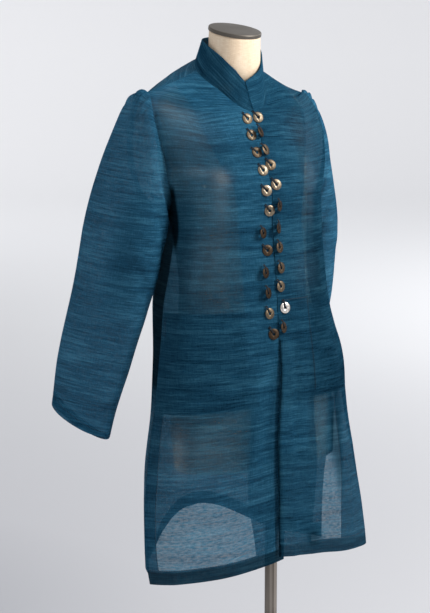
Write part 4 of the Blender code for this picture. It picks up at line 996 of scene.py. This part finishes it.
def make_sleeve(side):
    outside = -side_sign(side)
    base = sleeve_base(side)
    along = lengths_down(base)
    turns = np.broadcast_to(SIDE_SEAM_TURN + 360.0 * np.arange(SLEEVE_SIDES) / SLEEVE_SIDES, along.shape)
    u = turns * SLEEVE_PER_TURN
    v = along[CAP_ROW] - along
    whole_turn = 360.0 * SLEEVE_PER_TURN
    folds = [(u0 * SLEEVE_PER_TURN, v0, u1 * SLEEVE_PER_TURN, v1, height, width)
             for u0, v0, u1, v1, height, width in SLEEVE_FOLDS]
    seed = SLEEVE_SEED[side]
    height = soft_folds(u, v, folds, whole_turn)
    height = height + rumple(base, seed, 0.060, 0.0018) + rumple(base, seed + 9.0, 0.024, 0.0005)
    height *= rise(along, 0.0, 0.03)
    for turn, reach, depth in GATHERS:
        wide = 2.6 + 22.0 * along
        height += (depth * np.exp(-(turned_from(turns, turn) / wide) ** 2)
                   * fall(along / reach, 1.0, 1.0) * rise(along, 0.0, 0.006))
    height += seam_rise(along)
    for turn, down, out, wide, deep in PUFFS:
        off = (turned_from(turns, turn) / wide) ** 2 + ((along - down) / deep) ** 2
        height += out * np.exp(-off) * rise(along, 0.0, 0.008)
    grid = base + grid_normals(base, outside, True) * height[..., None]
    normals = grid_normals(grid, outside, True)
    wide_u = np.concatenate((u, u[:, :1] + whole_turn), axis=1) + (4.0 if side == "left" else 3.0)
    seam = np.abs(turned_from(turns, SIDE_SEAM_TURN)) * SLEEVE_PER_TURN
    # Painted shade: the side towards the body is painted dark and denser
    inner = fall(np.abs(turned_from(turns, 180.0)), *ARM_INNER[0]) * fall(along, *ARM_INNER[1])
    sleeve = cloth(f"sleeve_{side}_silk", grid, SILK, wide_u, v, outside, ring=True,
                   dense=np.maximum(beside_seam(along), beside_seam(seam)) + SLEEVE_DENSE + inner * 2.0,
                   shade=INNER_SHADE * inner + SLEEVE_SHADE)
    fitted(sleeve, f"sleeve_{side}")
    cuff = turned_in(grid[CUFF_ROW:][::-1], normals[CUFF_ROW:][::-1])
    cuff_u = np.broadcast_to(wide_u[:1], (len(cuff), wide_u.shape[1]))
    layer(f"cuff_turn_up_{side}", cuff, cuff_u, -fold_edge(v[CUFF_ROW:][::-1]), -outside, ring=True)
    around = np.arange(SLEEVE_SIDES + 1) % SLEEVE_SIDES
    stitched(f"stitches_cuff_{side}", grid[CUFF_ROW, around], normals[CUFF_ROW, around])


def make_collar():
    base = collar_base()
    u, v = lengths_across(base), lengths_down(base)
    height = rumple(base, 71.0, 0.030, 0.0008) * rise(v, 0.0, 0.008)
    outer = base + grid_normals(base, -1.0) * height[..., None]
    inner = turned_in(outer[::-1], grid_normals(outer, -1.0)[::-1], COLLAR_DEPTH)
    gu = np.concatenate((u, u[-1:], u[::-1]))
    gv = np.concatenate((v, v[-1:] + 0.001, 2.0 * v[-1:] - v[::-1] + 0.002))
    # The grain runs slanting across the collar
    collar = cloth("collar_silk", np.concatenate((outer, inner[1:])), SILK,
                   gu + gv * 0.5 + 6.0, gv - gu * 0.12, -1.0, dense=0.6)
    fitted(collar, "collar")


# Materials

class Finish:
    """A procedural material on a Principled shader."""

    def __init__(self, name, **values):
        self.material = bpy.data.materials.new(name)
        self.material.use_nodes = True
        self.tree = self.material.node_tree
        self.shader = self.tree.nodes["Principled BSDF"]
        for key, value in values.items():
            self.shader.inputs[key.replace("_", " ")].default_value = value

    def set(self, socket, value):
        if hasattr(value, "links"):
            self.tree.links.new(value, socket)
        else:
            socket.default_value = value

    def colour(self, value):
        self.set(self.shader.inputs["Base Color"], value)

    def node(self, kind, inputs=(), **settings):
        """A new node, with its inputs by name or number."""
        made = self.tree.nodes.new("ShaderNode" + kind)
        for key, value in settings.items():
            setattr(made, key, value)
        for key, value in dict(inputs).items():
            self.set(made.inputs[key], value)
        return made

    def attribute(self, name):
        return self.node("Attribute", attribute_name=name).outputs["Fac"]

    def noise(self, place, scale, detail=2.0, rough=0.5, shift=(0.0, 0.0, 0.0)):
        spot = self.node("Mapping", {"Vector": place, "Scale": scale, "Location": shift}).outputs["Vector"]
        return self.node("TexNoise", {"Vector": spot, "Scale": 1.0, "Detail": detail, "Roughness": rough},
                         noise_dimensions="3D").outputs["Fac"]

    def math(self, operation, a, b, clamp=False):
        return self.node("Math", {0: a, 1: b}, operation=operation, use_clamp=clamp).outputs["Value"]

    def weighted(self, *pairs):
        total = 0.0
        for value, weight in pairs:
            total = self.math("ADD", self.math("MULTIPLY", value, weight), total)
        return total

    def spread(self, value, low, high, to_low=0.0, to_high=1.0):
        return self.node("MapRange", {"Value": value, "From Min": low, "From Max": high,
                                      "To Min": to_low, "To Max": to_high}).outputs["Result"]

    def ramp(self, value, stops):
        made = self.node("ValToRGB", {"Fac": value})
        elements = made.color_ramp.elements
        while len(elements) < len(stops):
            elements.new(0.5)
        for element, (place, colour) in zip(elements, stops):
            element.position = place
            element.color = (*colour, 1.0)
        return made.outputs["Color"]

    def bump(self, height, strength, distance):
        made = self.node("Bump", {"Strength": strength, "Distance": distance, "Height": height})
        self.set(self.shader.inputs["Normal"], made.outputs["Normal"])


SILK_TONES = ((0.41, (0.005, 0.028, 0.057)), (0.50, (0.014, 0.073, 0.133)), (0.60, (0.042, 0.160, 0.250)))
# Lit linen colour painted into the silk where it touches the torso: painted light
LIT_LINEN_BEHIND = (0.125, 0.125, 0.118)
LINEN_TONES = ((0.34, (0.62, 0.455, 0.30)), (0.50, (0.79, 0.625, 0.45)), (0.66, (0.90, 0.77, 0.60)))
DISC_TONES = ((0.05, (0.022, 0.016, 0.012)), (0.30, (0.060, 0.040, 0.026)), (0.55, (0.18, 0.140, 0.095)),
              (0.75, (0.36, 0.305, 0.235)), (0.95, (0.88, 0.87, 0.86)))
# How light each disc's metal is, from the top down
DISC_LIGHTNESS = {"right": (0.55, 0.48, 0.36, 0.66, 0.68, 0.62, 0.12, 0.24, 0.08, 0.08, 0.48, 0.20),
             "left": (0.60, 0.18, 0.38, 0.46, 0.62, 0.10, 0.08, 0.28, 0.32, 0.46, 0.98, 0.18)}
# Floor tones from the painted shadow by the stand out to plain pale grey far off
FLOOR_TONES = ((0.02, (0.31, 0.32, 0.35)), (0.09, (0.53, 0.535, 0.56)), (0.28, (0.69, 0.695, 0.71)),
               (0.45, (0.76, 0.765, 0.78)), (0.85, (0.93, 0.93, 0.94)))
FLOOR_SHADOW_CENTRE = (-0.6, 1.5, 0.0)    # the floor grows lighter away from here
BARE = 0.10                      # how much of single cloth is open between the threads


def silk(name):
    """Sheer silk: thick and thin weft threads across, fine warp threads along. It is less
    sheer where dense is high, and lets more show where it touches the torso. Its colour is
    painted darker where shade is high, as painted shade, and lighter where shade is below 0,
    as painted light."""
    m = Finish(name, Roughness=0.60, Specular_IOR_Level=0.12, Transmission_Weight=0.35, IOR=1.0)
    place = m.node("UVMap", uv_map="weave").outputs["UV"]
    cloud = m.noise(place, (5.0, 18.0, 1.0), 3.0, 0.55)
    band = m.noise(place, (6.0, 85.0, 1.0), 3.0, 0.6)
    slub = m.noise(place, (13.0, 250.0, 1.0), 3.0, 0.65)
    thread = m.noise(place, (36.0, 540.0, 1.0), 3.0, 0.7)
    warp = m.noise(place, (520.0, 40.0, 1.0), 3.0, 0.6)
    grain = m.noise(place, (340.0, 420.0, 1.0), 2.0, 0.6)
    speck = m.noise(place, (95.0, 300.0, 1.0), 2.0, 0.6)
    tone = m.weighted((cloud, 0.17), (band, 0.20), (slub, 0.26), (thread, 0.16), (warp, 0.10), (grain, 0.11))
    # Single thick threads: a few light ones and a few dark ones
    thick = m.noise(place, (6.0, 340.0, 1.0), 2.0, 0.5, (7.3, 1.9, 0.0))
    tone = m.weighted((tone, 1.0), (m.spread(thick, 0.64, 0.76), 0.05), (m.spread(thick, 0.36, 0.25), -0.08))
    # Painted light: where the cloth touches the torso, lit linen colour is added to its own
    rests = m.attribute("touch")
    # Painted shade and light: the shade mark scales the colour from 1.9 down to 0.1
    shade = m.spread(m.attribute("shade"), -1.0, 1.0, 1.9, 0.1)
    backed = m.node("VectorMath", {0: rests, 1: LIT_LINEN_BEHIND, 2: m.ramp(tone, SILK_TONES)},
                    operation="MULTIPLY_ADD").outputs["Vector"]
    m.colour(m.node("VectorMath", {0: backed, 1: shade}, operation="MULTIPLY").outputs["Vector"])
    mesh = m.weighted((speck, 0.44), (thread, 0.28), (warp, 0.12), (slub, 0.16))
    thin = m.math("MULTIPLY", m.spread(mesh, 0.41, 0.59, 2.1, 0.0), BARE)
    dense = m.math("POWER", 0.3, m.attribute("dense"))
    gaps = m.math("MULTIPLY", thin, m.math("MULTIPLY", m.spread(rests, 0.0, 1.0, 1.0, 2.2), dense))
    m.set(m.shader.inputs["Alpha"], m.math("SUBTRACT", 1.0, gaps, clamp=True))
    m.bump(m.weighted((slub, 0.45), (thread, 0.40), (warp, 0.15)), 0.45, 0.0008)
    return m.material


def disc_finish(name):
    """Old brass and silver, bright where tone is high and brown where it is low."""
    m = Finish(name, Metallic=1.0)
    place = m.node("TexCoord").outputs["Object"]
    spots = m.noise(place, (260.0, 260.0, 260.0), 4.0, 0.6)
    fine = m.noise(place, (1300.0, 1300.0, 1300.0), 2.0, 0.5)
    lightness = m.weighted((m.attribute("tone"), 0.75), (spots, 0.42), (fine, 0.16), (-0.165, 1.0))
    m.colour(m.ramp(lightness, DISC_TONES))
    m.set(m.shader.inputs["Roughness"], m.spread(lightness, 0.2, 0.8, 0.60, 0.36))
    m.bump(m.weighted((spots, 0.7), (fine, 0.3)), 0.35, 0.0003)
    return m.material


def brushed(name, dark, light, roughness, around=260.0, along=3.0):
    """Metal with fine lines: round it when around is high, along it when along is high. On the pole the lines
    along it are coarse light and dark bands, brushing and painted reflection both.
    """
    m = Finish(name, Metallic=1.0)
    place = m.node("TexCoord").outputs["Object"]
    lines = m.noise(place, (along, along, around), 3.0, 0.6)
    tone = m.weighted((lines, 0.65), (m.noise(place, (9.0, 9.0, 9.0), 2.0, 0.5), 0.35))
    m.colour(m.ramp(tone, ((0.36, dark), (0.64, light))))
    m.set(m.shader.inputs["Roughness"], m.spread(tone, 0.3, 0.7, roughness + 0.06, roughness - 0.06))
    m.bump(lines, 0.15, 0.0002)
    return m.material


def woven_linen(name):
    m = Finish(name, Roughness=0.85, Sheen_Weight=0.15, Specular_IOR_Level=0.2)
    place = m.node("UVMap", uv_map="weave").outputs["UV"]
    weft = m.noise(place, (30.0, 900.0, 1.0), 3.0, 0.6)
    warp = m.noise(place, (900.0, 30.0, 1.0), 3.0, 0.6)
    cloud = m.noise(place, (14.0, 14.0, 1.0), 3.0, 0.6)
    m.colour(m.ramp(m.weighted((weft, 0.4), (warp, 0.35), (cloud, 0.25)), LINEN_TONES))
    m.bump(m.weighted((weft, 0.5), (warp, 0.5)), 0.4, 0.0005)
    return m.material


def floor_finish(name):
    """Pale grey with a painted shadow: darker near the stand and lighter away from it."""
    m = Finish(name, Roughness=0.9, Specular_IOR_Level=0.1)
    place = m.node("TexCoord").outputs["Object"]
    away = m.node("VectorMath", {0: place, 1: FLOOR_SHADOW_CENTRE}, operation="DISTANCE").outputs["Value"]
    cloud = m.noise(place, (0.25, 0.25, 0.25), 2.0, 0.5)
    m.colour(m.ramp(m.weighted((m.spread(away, 0.0, 17.0), 0.94), (cloud, 0.06)), FLOOR_TONES))
    return m.material


SILK = silk("silk")
FOLD_SILK = silk("silk_fold")
DISC_METAL = disc_finish("disc_metal")
CAP_METAL = brushed("cap_metal", (0.11, 0.098, 0.084), (0.19, 0.172, 0.150), 0.50)
# On the pole, socket and foot collar the coarse bands along the metal are brushing and painted reflection both
POLE_METAL = brushed("pole_metal", (0.05, 0.042, 0.034), (0.36, 0.32, 0.28), 0.30, around=0.5, along=95.0)
BASE_METAL = brushed("base_metal", (0.16, 0.14, 0.12), (0.26, 0.23, 0.20), 0.42)
LINEN = woven_linen("linen")
THREAD = Finish("black_thread", Base_Color=(0.006, 0.007, 0.010, 1.0), Roughness=0.8).material
STITCHING = Finish("stitches", Base_Color=(0.004, 0.024, 0.045, 1.0), Roughness=0.8).material


# The dress form and its stand

FORM_INSET = 0.996           # keeps the smooth torso inside its solid's flats
FORM_FINE = 96
FORM_ROWS = 160
LINEN_AROUND = 0.95          # metres of linen round the torso, for its weave


def form_ring(height):
    """One section of the torso, a superellipse with its own depth in front and behind."""
    sizes = {name: FORM.at(height, name) for name in FORM.columns}
    ring = []
    for k in range(FORM_FINE):
        angle = 2.0 * math.pi * k / FORM_FINE
        across, along = [math.copysign(abs(part) ** (2.0 / sizes["power"]), part)
                         for part in (math.cos(angle), math.sin(angle))]
        depth = sizes["back"] if along > 0.0 else sizes["front"]
        ring.append((across * sizes["half_width"] * FORM_INSET,
                     sizes["middle"] + along * depth * FORM_INSET,
                     height + sizes["tilt"] * along * depth))
    return ring


def make_torso():
    heights = [mix(FORM.keys[0], FORM.keys[-1], k / FORM_ROWS) for k in range(FORM_ROWS + 1)]
    grid = np.array([form_ring(height) for height in heights])
    u = np.broadcast_to(np.arange(FORM_FINE + 1) * (LINEN_AROUND / FORM_FINE), (len(grid), FORM_FINE + 1))
    torso = cloth("torso_linen", grid, LINEN, u, np.array(heights)[:, None], ring=True)
    edited(torso.data, lambda bm: bmesh.ops.holes_fill(
        bm, edges=[edge for edge in bm.edges if edge.is_boundary], sides=0))
    fitted(torso, "form_torso")


def circle(bm, radius, height, sides):
    """A ring of vertices about the Z axis, or a single one on it."""
    turns = [2.0 * math.pi * k / sides for k in range(sides if radius > 0.0 else 1)]
    return [bm.verts.new((radius * math.cos(turn), radius * math.sin(turn), height)) for turn in turns]


def bridged(bm, pairs):
    """Faces between pairs of rings."""
    for above, below in pairs:
        for k in range(max(len(above), len(below))):
            places = ((above, k), (below, k), (below, k + 1), (above, k + 1))
            bm.faces.new(list(dict.fromkeys(ring[i % len(ring)] for ring, i in places)))


def lathed(name, node, finish, profile, sides=96):
    """A turned piece. profile runs down its outer side; a piece with a bore closes on itself."""
    bm = bmesh.new()
    rings = [circle(bm, radius, height, sides) for radius, height in profile]
    bridged(bm, zip(rings, rings[1:] + (rings[:1] if profile[0][0] > 0.0 else [])))
    bmesh.ops.recalc_face_normals(bm, faces=bm.faces)
    return fitted(placed(name, mesh_from(bm, name), finish, sharp=35.0), node)


def rounded(corners, arc_steps=4):
    """Corners as (radius, height, rounding); each corner is cut by a small arc."""
    result = []
    for i, (radius, height, size) in enumerate(corners):
        if size <= 0.0:
            result.append((radius, height))
            continue
        here = Vector((radius, height))
        before, after = [here + (Vector(other[:2]) - here).normalized() * size
                         for other in (corners[i - 1], corners[(i + 1) % len(corners)])]
        result += [tuple(arc(before, here, after, k / arc_steps)) for k in range(arc_steps + 1)]
    return result


def make_stand():
    top = FORM.keys[-1]
    cap = lathed("neck_cap_metal", "neck_cap", CAP_METAL, rounded([
        (0.0, CAP_THICKNESS, 0.0), (CAP_RADIUS, CAP_THICKNESS, 0.0022),
        (CAP_RADIUS, 0.0, 0.0008), (0.0, 0.0, 0.0)]), 128)
    cap.location = (0.0, FORM.at(top, "middle"), top + REST)
    cap.rotation_euler = (CAP_TILT, 0.0, 0.0)
    bore = POLE_RADIUS + REST
    plate, tube = SOCKET_PLATE["radius"], SOCKET_PLATE["tube"]
    socket_top = FORM_BOTTOM - REST
    plate_low = socket_top - SOCKET_PLATE["thickness"]
    socket_low = socket_top - SOCKET_PLATE["height"]
    lathed("pole_socket_metal", "pole_socket", POLE_METAL, rounded([
        (bore, socket_top, 0.0), (plate, socket_top, 0.0006), (plate, plate_low, 0.001),
        (tube, plate_low, 0.0015), (tube, socket_low, 0.001), (bore, socket_low, 0.0)]))
    lathed("base_metal_plate", "base", BASE_METAL, rounded([
        (0.0, BASE_THICKNESS, 0.0), (BASE_RADIUS - BASE_EDGE, BASE_THICKNESS - BASE_EDGE / 2.0, 0.003),
        (BASE_RADIUS, BASE_THICKNESS - BASE_EDGE * 1.5, 0.002),
        (BASE_RADIUS, 0.0, 0.001), (0.0, 0.0, 0.0)]), 160)
    low = BASE_THICKNESS + REST
    foot_top = low + FOOT["height"]
    lathed("pole_collar_metal", "pole_collar", POLE_METAL, rounded([
        (bore, foot_top, 0.0), (FOOT["radius"], foot_top, FOOT["edge"]),
        (FOOT["radius"], low, 0.0008), (bore, low, 0.0)]))
    lathed("pole_metal_tube", "pole", POLE_METAL, [
        (0.0, socket_top - REST), (POLE_RADIUS, socket_top - REST), (POLE_RADIUS, low), (0.0, low)])


# Discs and their threads

DISC_FINE = 44
HOLE_FINE = 14
DISC_ROUND = 0.00025
SEAT_RINGS = (0.2, 0.4, 0.6, 0.8, 1.0)    # shares of the radius that are laid on the cloth
SEAT_STEPS = 32
THREAD_RADIUS = 0.00075
THREAD_APART = 0.0007
# A loop, in a disc's own directions: how much wider the two threads are apart, along, up
THREAD_PATH = ((2.4, 0.0168, -0.0022), (2.0, 0.0145, 0.0004), (1.0, 0.0090, 0.0014), (1.0, 0.0045, 0.0013),
               (1.0, 0.0022, 0.0005), (1.0, 0.0020, -0.0008), (1.0, 0.0050, -0.0014))


def disc_outline(grow):
    """The disc's outline, drawn in by grow all round."""
    half, radius, hole = DISC_SLOT / 2.0 + grow, DISC_RADIUS - grow, DISC_HOLE + grow
    outer, inner = math.asin(half / radius), math.asin(min(1.0, half / hole))
    path = [(radius, mix(outer, 2.0 * math.pi - outer, k / DISC_FINE)) for k in range(DISC_FINE + 1)]
    path += [(hole, mix(2.0 * math.pi - inner, inner, k / HOLE_FINE)) for k in range(HOLE_FINE + 1)]
    return [(size * math.sin(turn), size * math.cos(turn)) for size, turn in path]


def disc_mesh():
    """A flat disc with a hole, a slot and softened edges."""
    bm = bmesh.new()
    half = DISC_THICKNESS / 2.0
    edges = ((DISC_ROUND, half), (0.0, half - DISC_ROUND), (0.0, -half + DISC_ROUND), (DISC_ROUND, -half))
    rings = [[bm.verts.new((x, y, z)) for x, y in disc_outline(grow)] for grow, z in edges]
    bridged(bm, zip(rings, rings[1:]))
    bm.faces.new(rings[0])
    bm.faces.new(rings[-1][::-1])
    bmesh.ops.recalc_face_normals(bm, faces=bm.faces)
    return mesh_from(bm, "disc")


def chest_rake(height):
    """How far the centre front leans back from the vertical, in degrees."""
    back = CENTRE_FRONT.at(height + 0.01, "y") - CENTRE_FRONT.at(height - 0.01, "y")
    return -math.degrees(math.atan2(back, 0.02))


def thread_loop(name, matrix):
    """A short loop of doubled thread through the slot and hole, sewn to the cloth behind."""
    curve = bpy.data.curves.new(name, "CURVE")
    curve.dimensions = "3D"
    curve.bevel_depth = THREAD_RADIUS
    curve.bevel_resolution = 3
    curve.resolution_u = 4
    for shift in (-THREAD_APART, THREAD_APART):
        spline = curve.splines.new("NURBS")
        spline.points.add(len(THREAD_PATH) - 1)
        for point, (wider, y, z) in zip(spline.points, THREAD_PATH):
            point.co = (*(matrix @ Vector((shift * wider, y, z))), 1.0)
        spline.order_u = 3
        spline.use_endpoint_u = True
    curve.materials.append(THREAD)
    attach(added(name, curve), "root")


def cloth_tree(pieces):
    points = []
    faces = []
    for piece in pieces:
        start = len(points)
        points += [vertex.co.copy() for vertex in piece.data.vertices]
        faces += [[start + index for index in face.vertices] for face in piece.data.polygons]
    return BVHTree.FromPolygons(points, faces)


def seated(turned_matrix, x, height, tree):
    """Moves a turned disc back along Y until its nearest point is just clear of the cloth."""
    ahead = -0.3
    room = 1.0
    for share in SEAT_RINGS:
        radius = DISC_RADIUS * share
        for k in range(SEAT_STEPS):
            turn = 2.0 * math.pi * k / SEAT_STEPS
            place = Vector((radius * math.sin(turn), radius * math.cos(turn), -DISC_THICKNESS / 2.0))
            point = turned_matrix @ place + Vector((x, ahead, height))
            distance = tree.ray_cast(point, Vector((0.0, 1.0, 0.0)))[3]
            if distance is not None:
                room = min(room, distance)
    return Matrix.Translation((x, ahead + room - DISC_CLEARANCE, height)) @ turned_matrix


def turned(degrees, axis):
    return Matrix.Rotation(math.radians(degrees), 4, axis)


def make_discs(fronts):
    tree = cloth_tree(fronts)
    for number, row in enumerate(DISC_ROWS, start=1):
        sizes = dict(zip(DISC_COLUMNS, row))
        for side in ("right", "left"):
            x, height, turn, lean = [sizes[f"{key}_{side}"] for key in ("x", "height", "turn", "lean")]
            facing = turned(turn, "Z") @ turned(chest_rake(height), "X") @ turned(90.0, "X") @ turned(lean, "Z")
            matrix = seated(facing, x, height, tree)
            mesh = disc_mesh()
            mesh.transform(matrix)
            lightness_mark = mesh.attributes.new("tone", "FLOAT", "POINT")
            lightness_mark.data.foreach_set("value", [DISC_LIGHTNESS[side][number - 1]] * len(mesh.vertices))
            node = f"disc_{side}_{number:02d}"
            fitted(placed(node + "_metal", mesh, DISC_METAL, sharp=50.0), node)
            thread_loop(f"thread_{side}_{number:02d}", matrix)


# Light, and a floor that sweeps up all round

SWEEP_START = 12.0
SWEEP_RADIUS = 6.0
SWEEP_SIDES = 96
# Each light: its place, what it shines on, its size, power and colour
LIGHTS = {"key": ((1.6, -2.1, 3.0), (0.0, 0.1, 1.15), (0.8, 0.8), 125.0, (1.0, 0.985, 0.96)),
          "far": ((0.5, 9.0, 5.0), (4.5, 14.0, 2.0), (4.0, 3.0), 150.0, (1.0, 1.0, 1.0)),
          "back": ((5.5, 2.5, 3.6), (5.6, 3.6, 0.0), (3.0, 3.0), 130.0, (1.0, 1.0, 1.0))}


def area_light(name, place, target, size, power, colour):
    data = bpy.data.lights.new(name, "AREA")
    data.shape = "RECTANGLE"
    data.size, data.size_y = size
    data.energy = power
    data.color = colour
    light = added(name, data)
    light.location = place
    light.rotation_euler = (Vector(target) - Vector(place)).to_track_quat("-Z", "Y").to_euler()


def make_stage():
    world = bpy.data.worlds.new("studio")
    bpy.context.scene.world = world
    world.use_nodes = True
    background = world.node_tree.nodes["Background"]
    background.inputs["Color"].default_value = (0.93, 0.94, 0.97, 1.0)
    background.inputs["Strength"].default_value = 0.74
    for name, settings in LIGHTS.items():
        area_light(name, *settings)
    profile = [(radius, 0.0) for radius in (2.0, 4.0, 6.0, 8.0, 10.0)]
    for degrees in range(0, 85, 5):
        turn = math.radians(degrees)
        profile.append((SWEEP_START + SWEEP_RADIUS * math.sin(turn), SWEEP_RADIUS * (1.0 - math.cos(turn))))
    bm = bmesh.new()
    rings = [circle(bm, radius, height, SWEEP_SIDES) for radius, height in profile]
    bm.faces.new(rings[0])
    bridged(bm, zip(rings, rings[1:]))
    mesh = mesh_from(bm, "floor")
    mesh.shade_smooth()
    mesh.materials.append(floor_finish("floor"))
    added("floor", mesh)
    bpy.context.scene.view_settings.view_transform = "Standard"
    bpy.context.scene.view_settings.look = "None"


make_stage()
make_torso()
make_stand()
fronts = [make_front(wearer_side) for wearer_side in ("right", "left")]
for wearer_side in ("right", "left"):
    make_sleeve(wearer_side)
make_back()
make_collar()
make_discs(fronts)
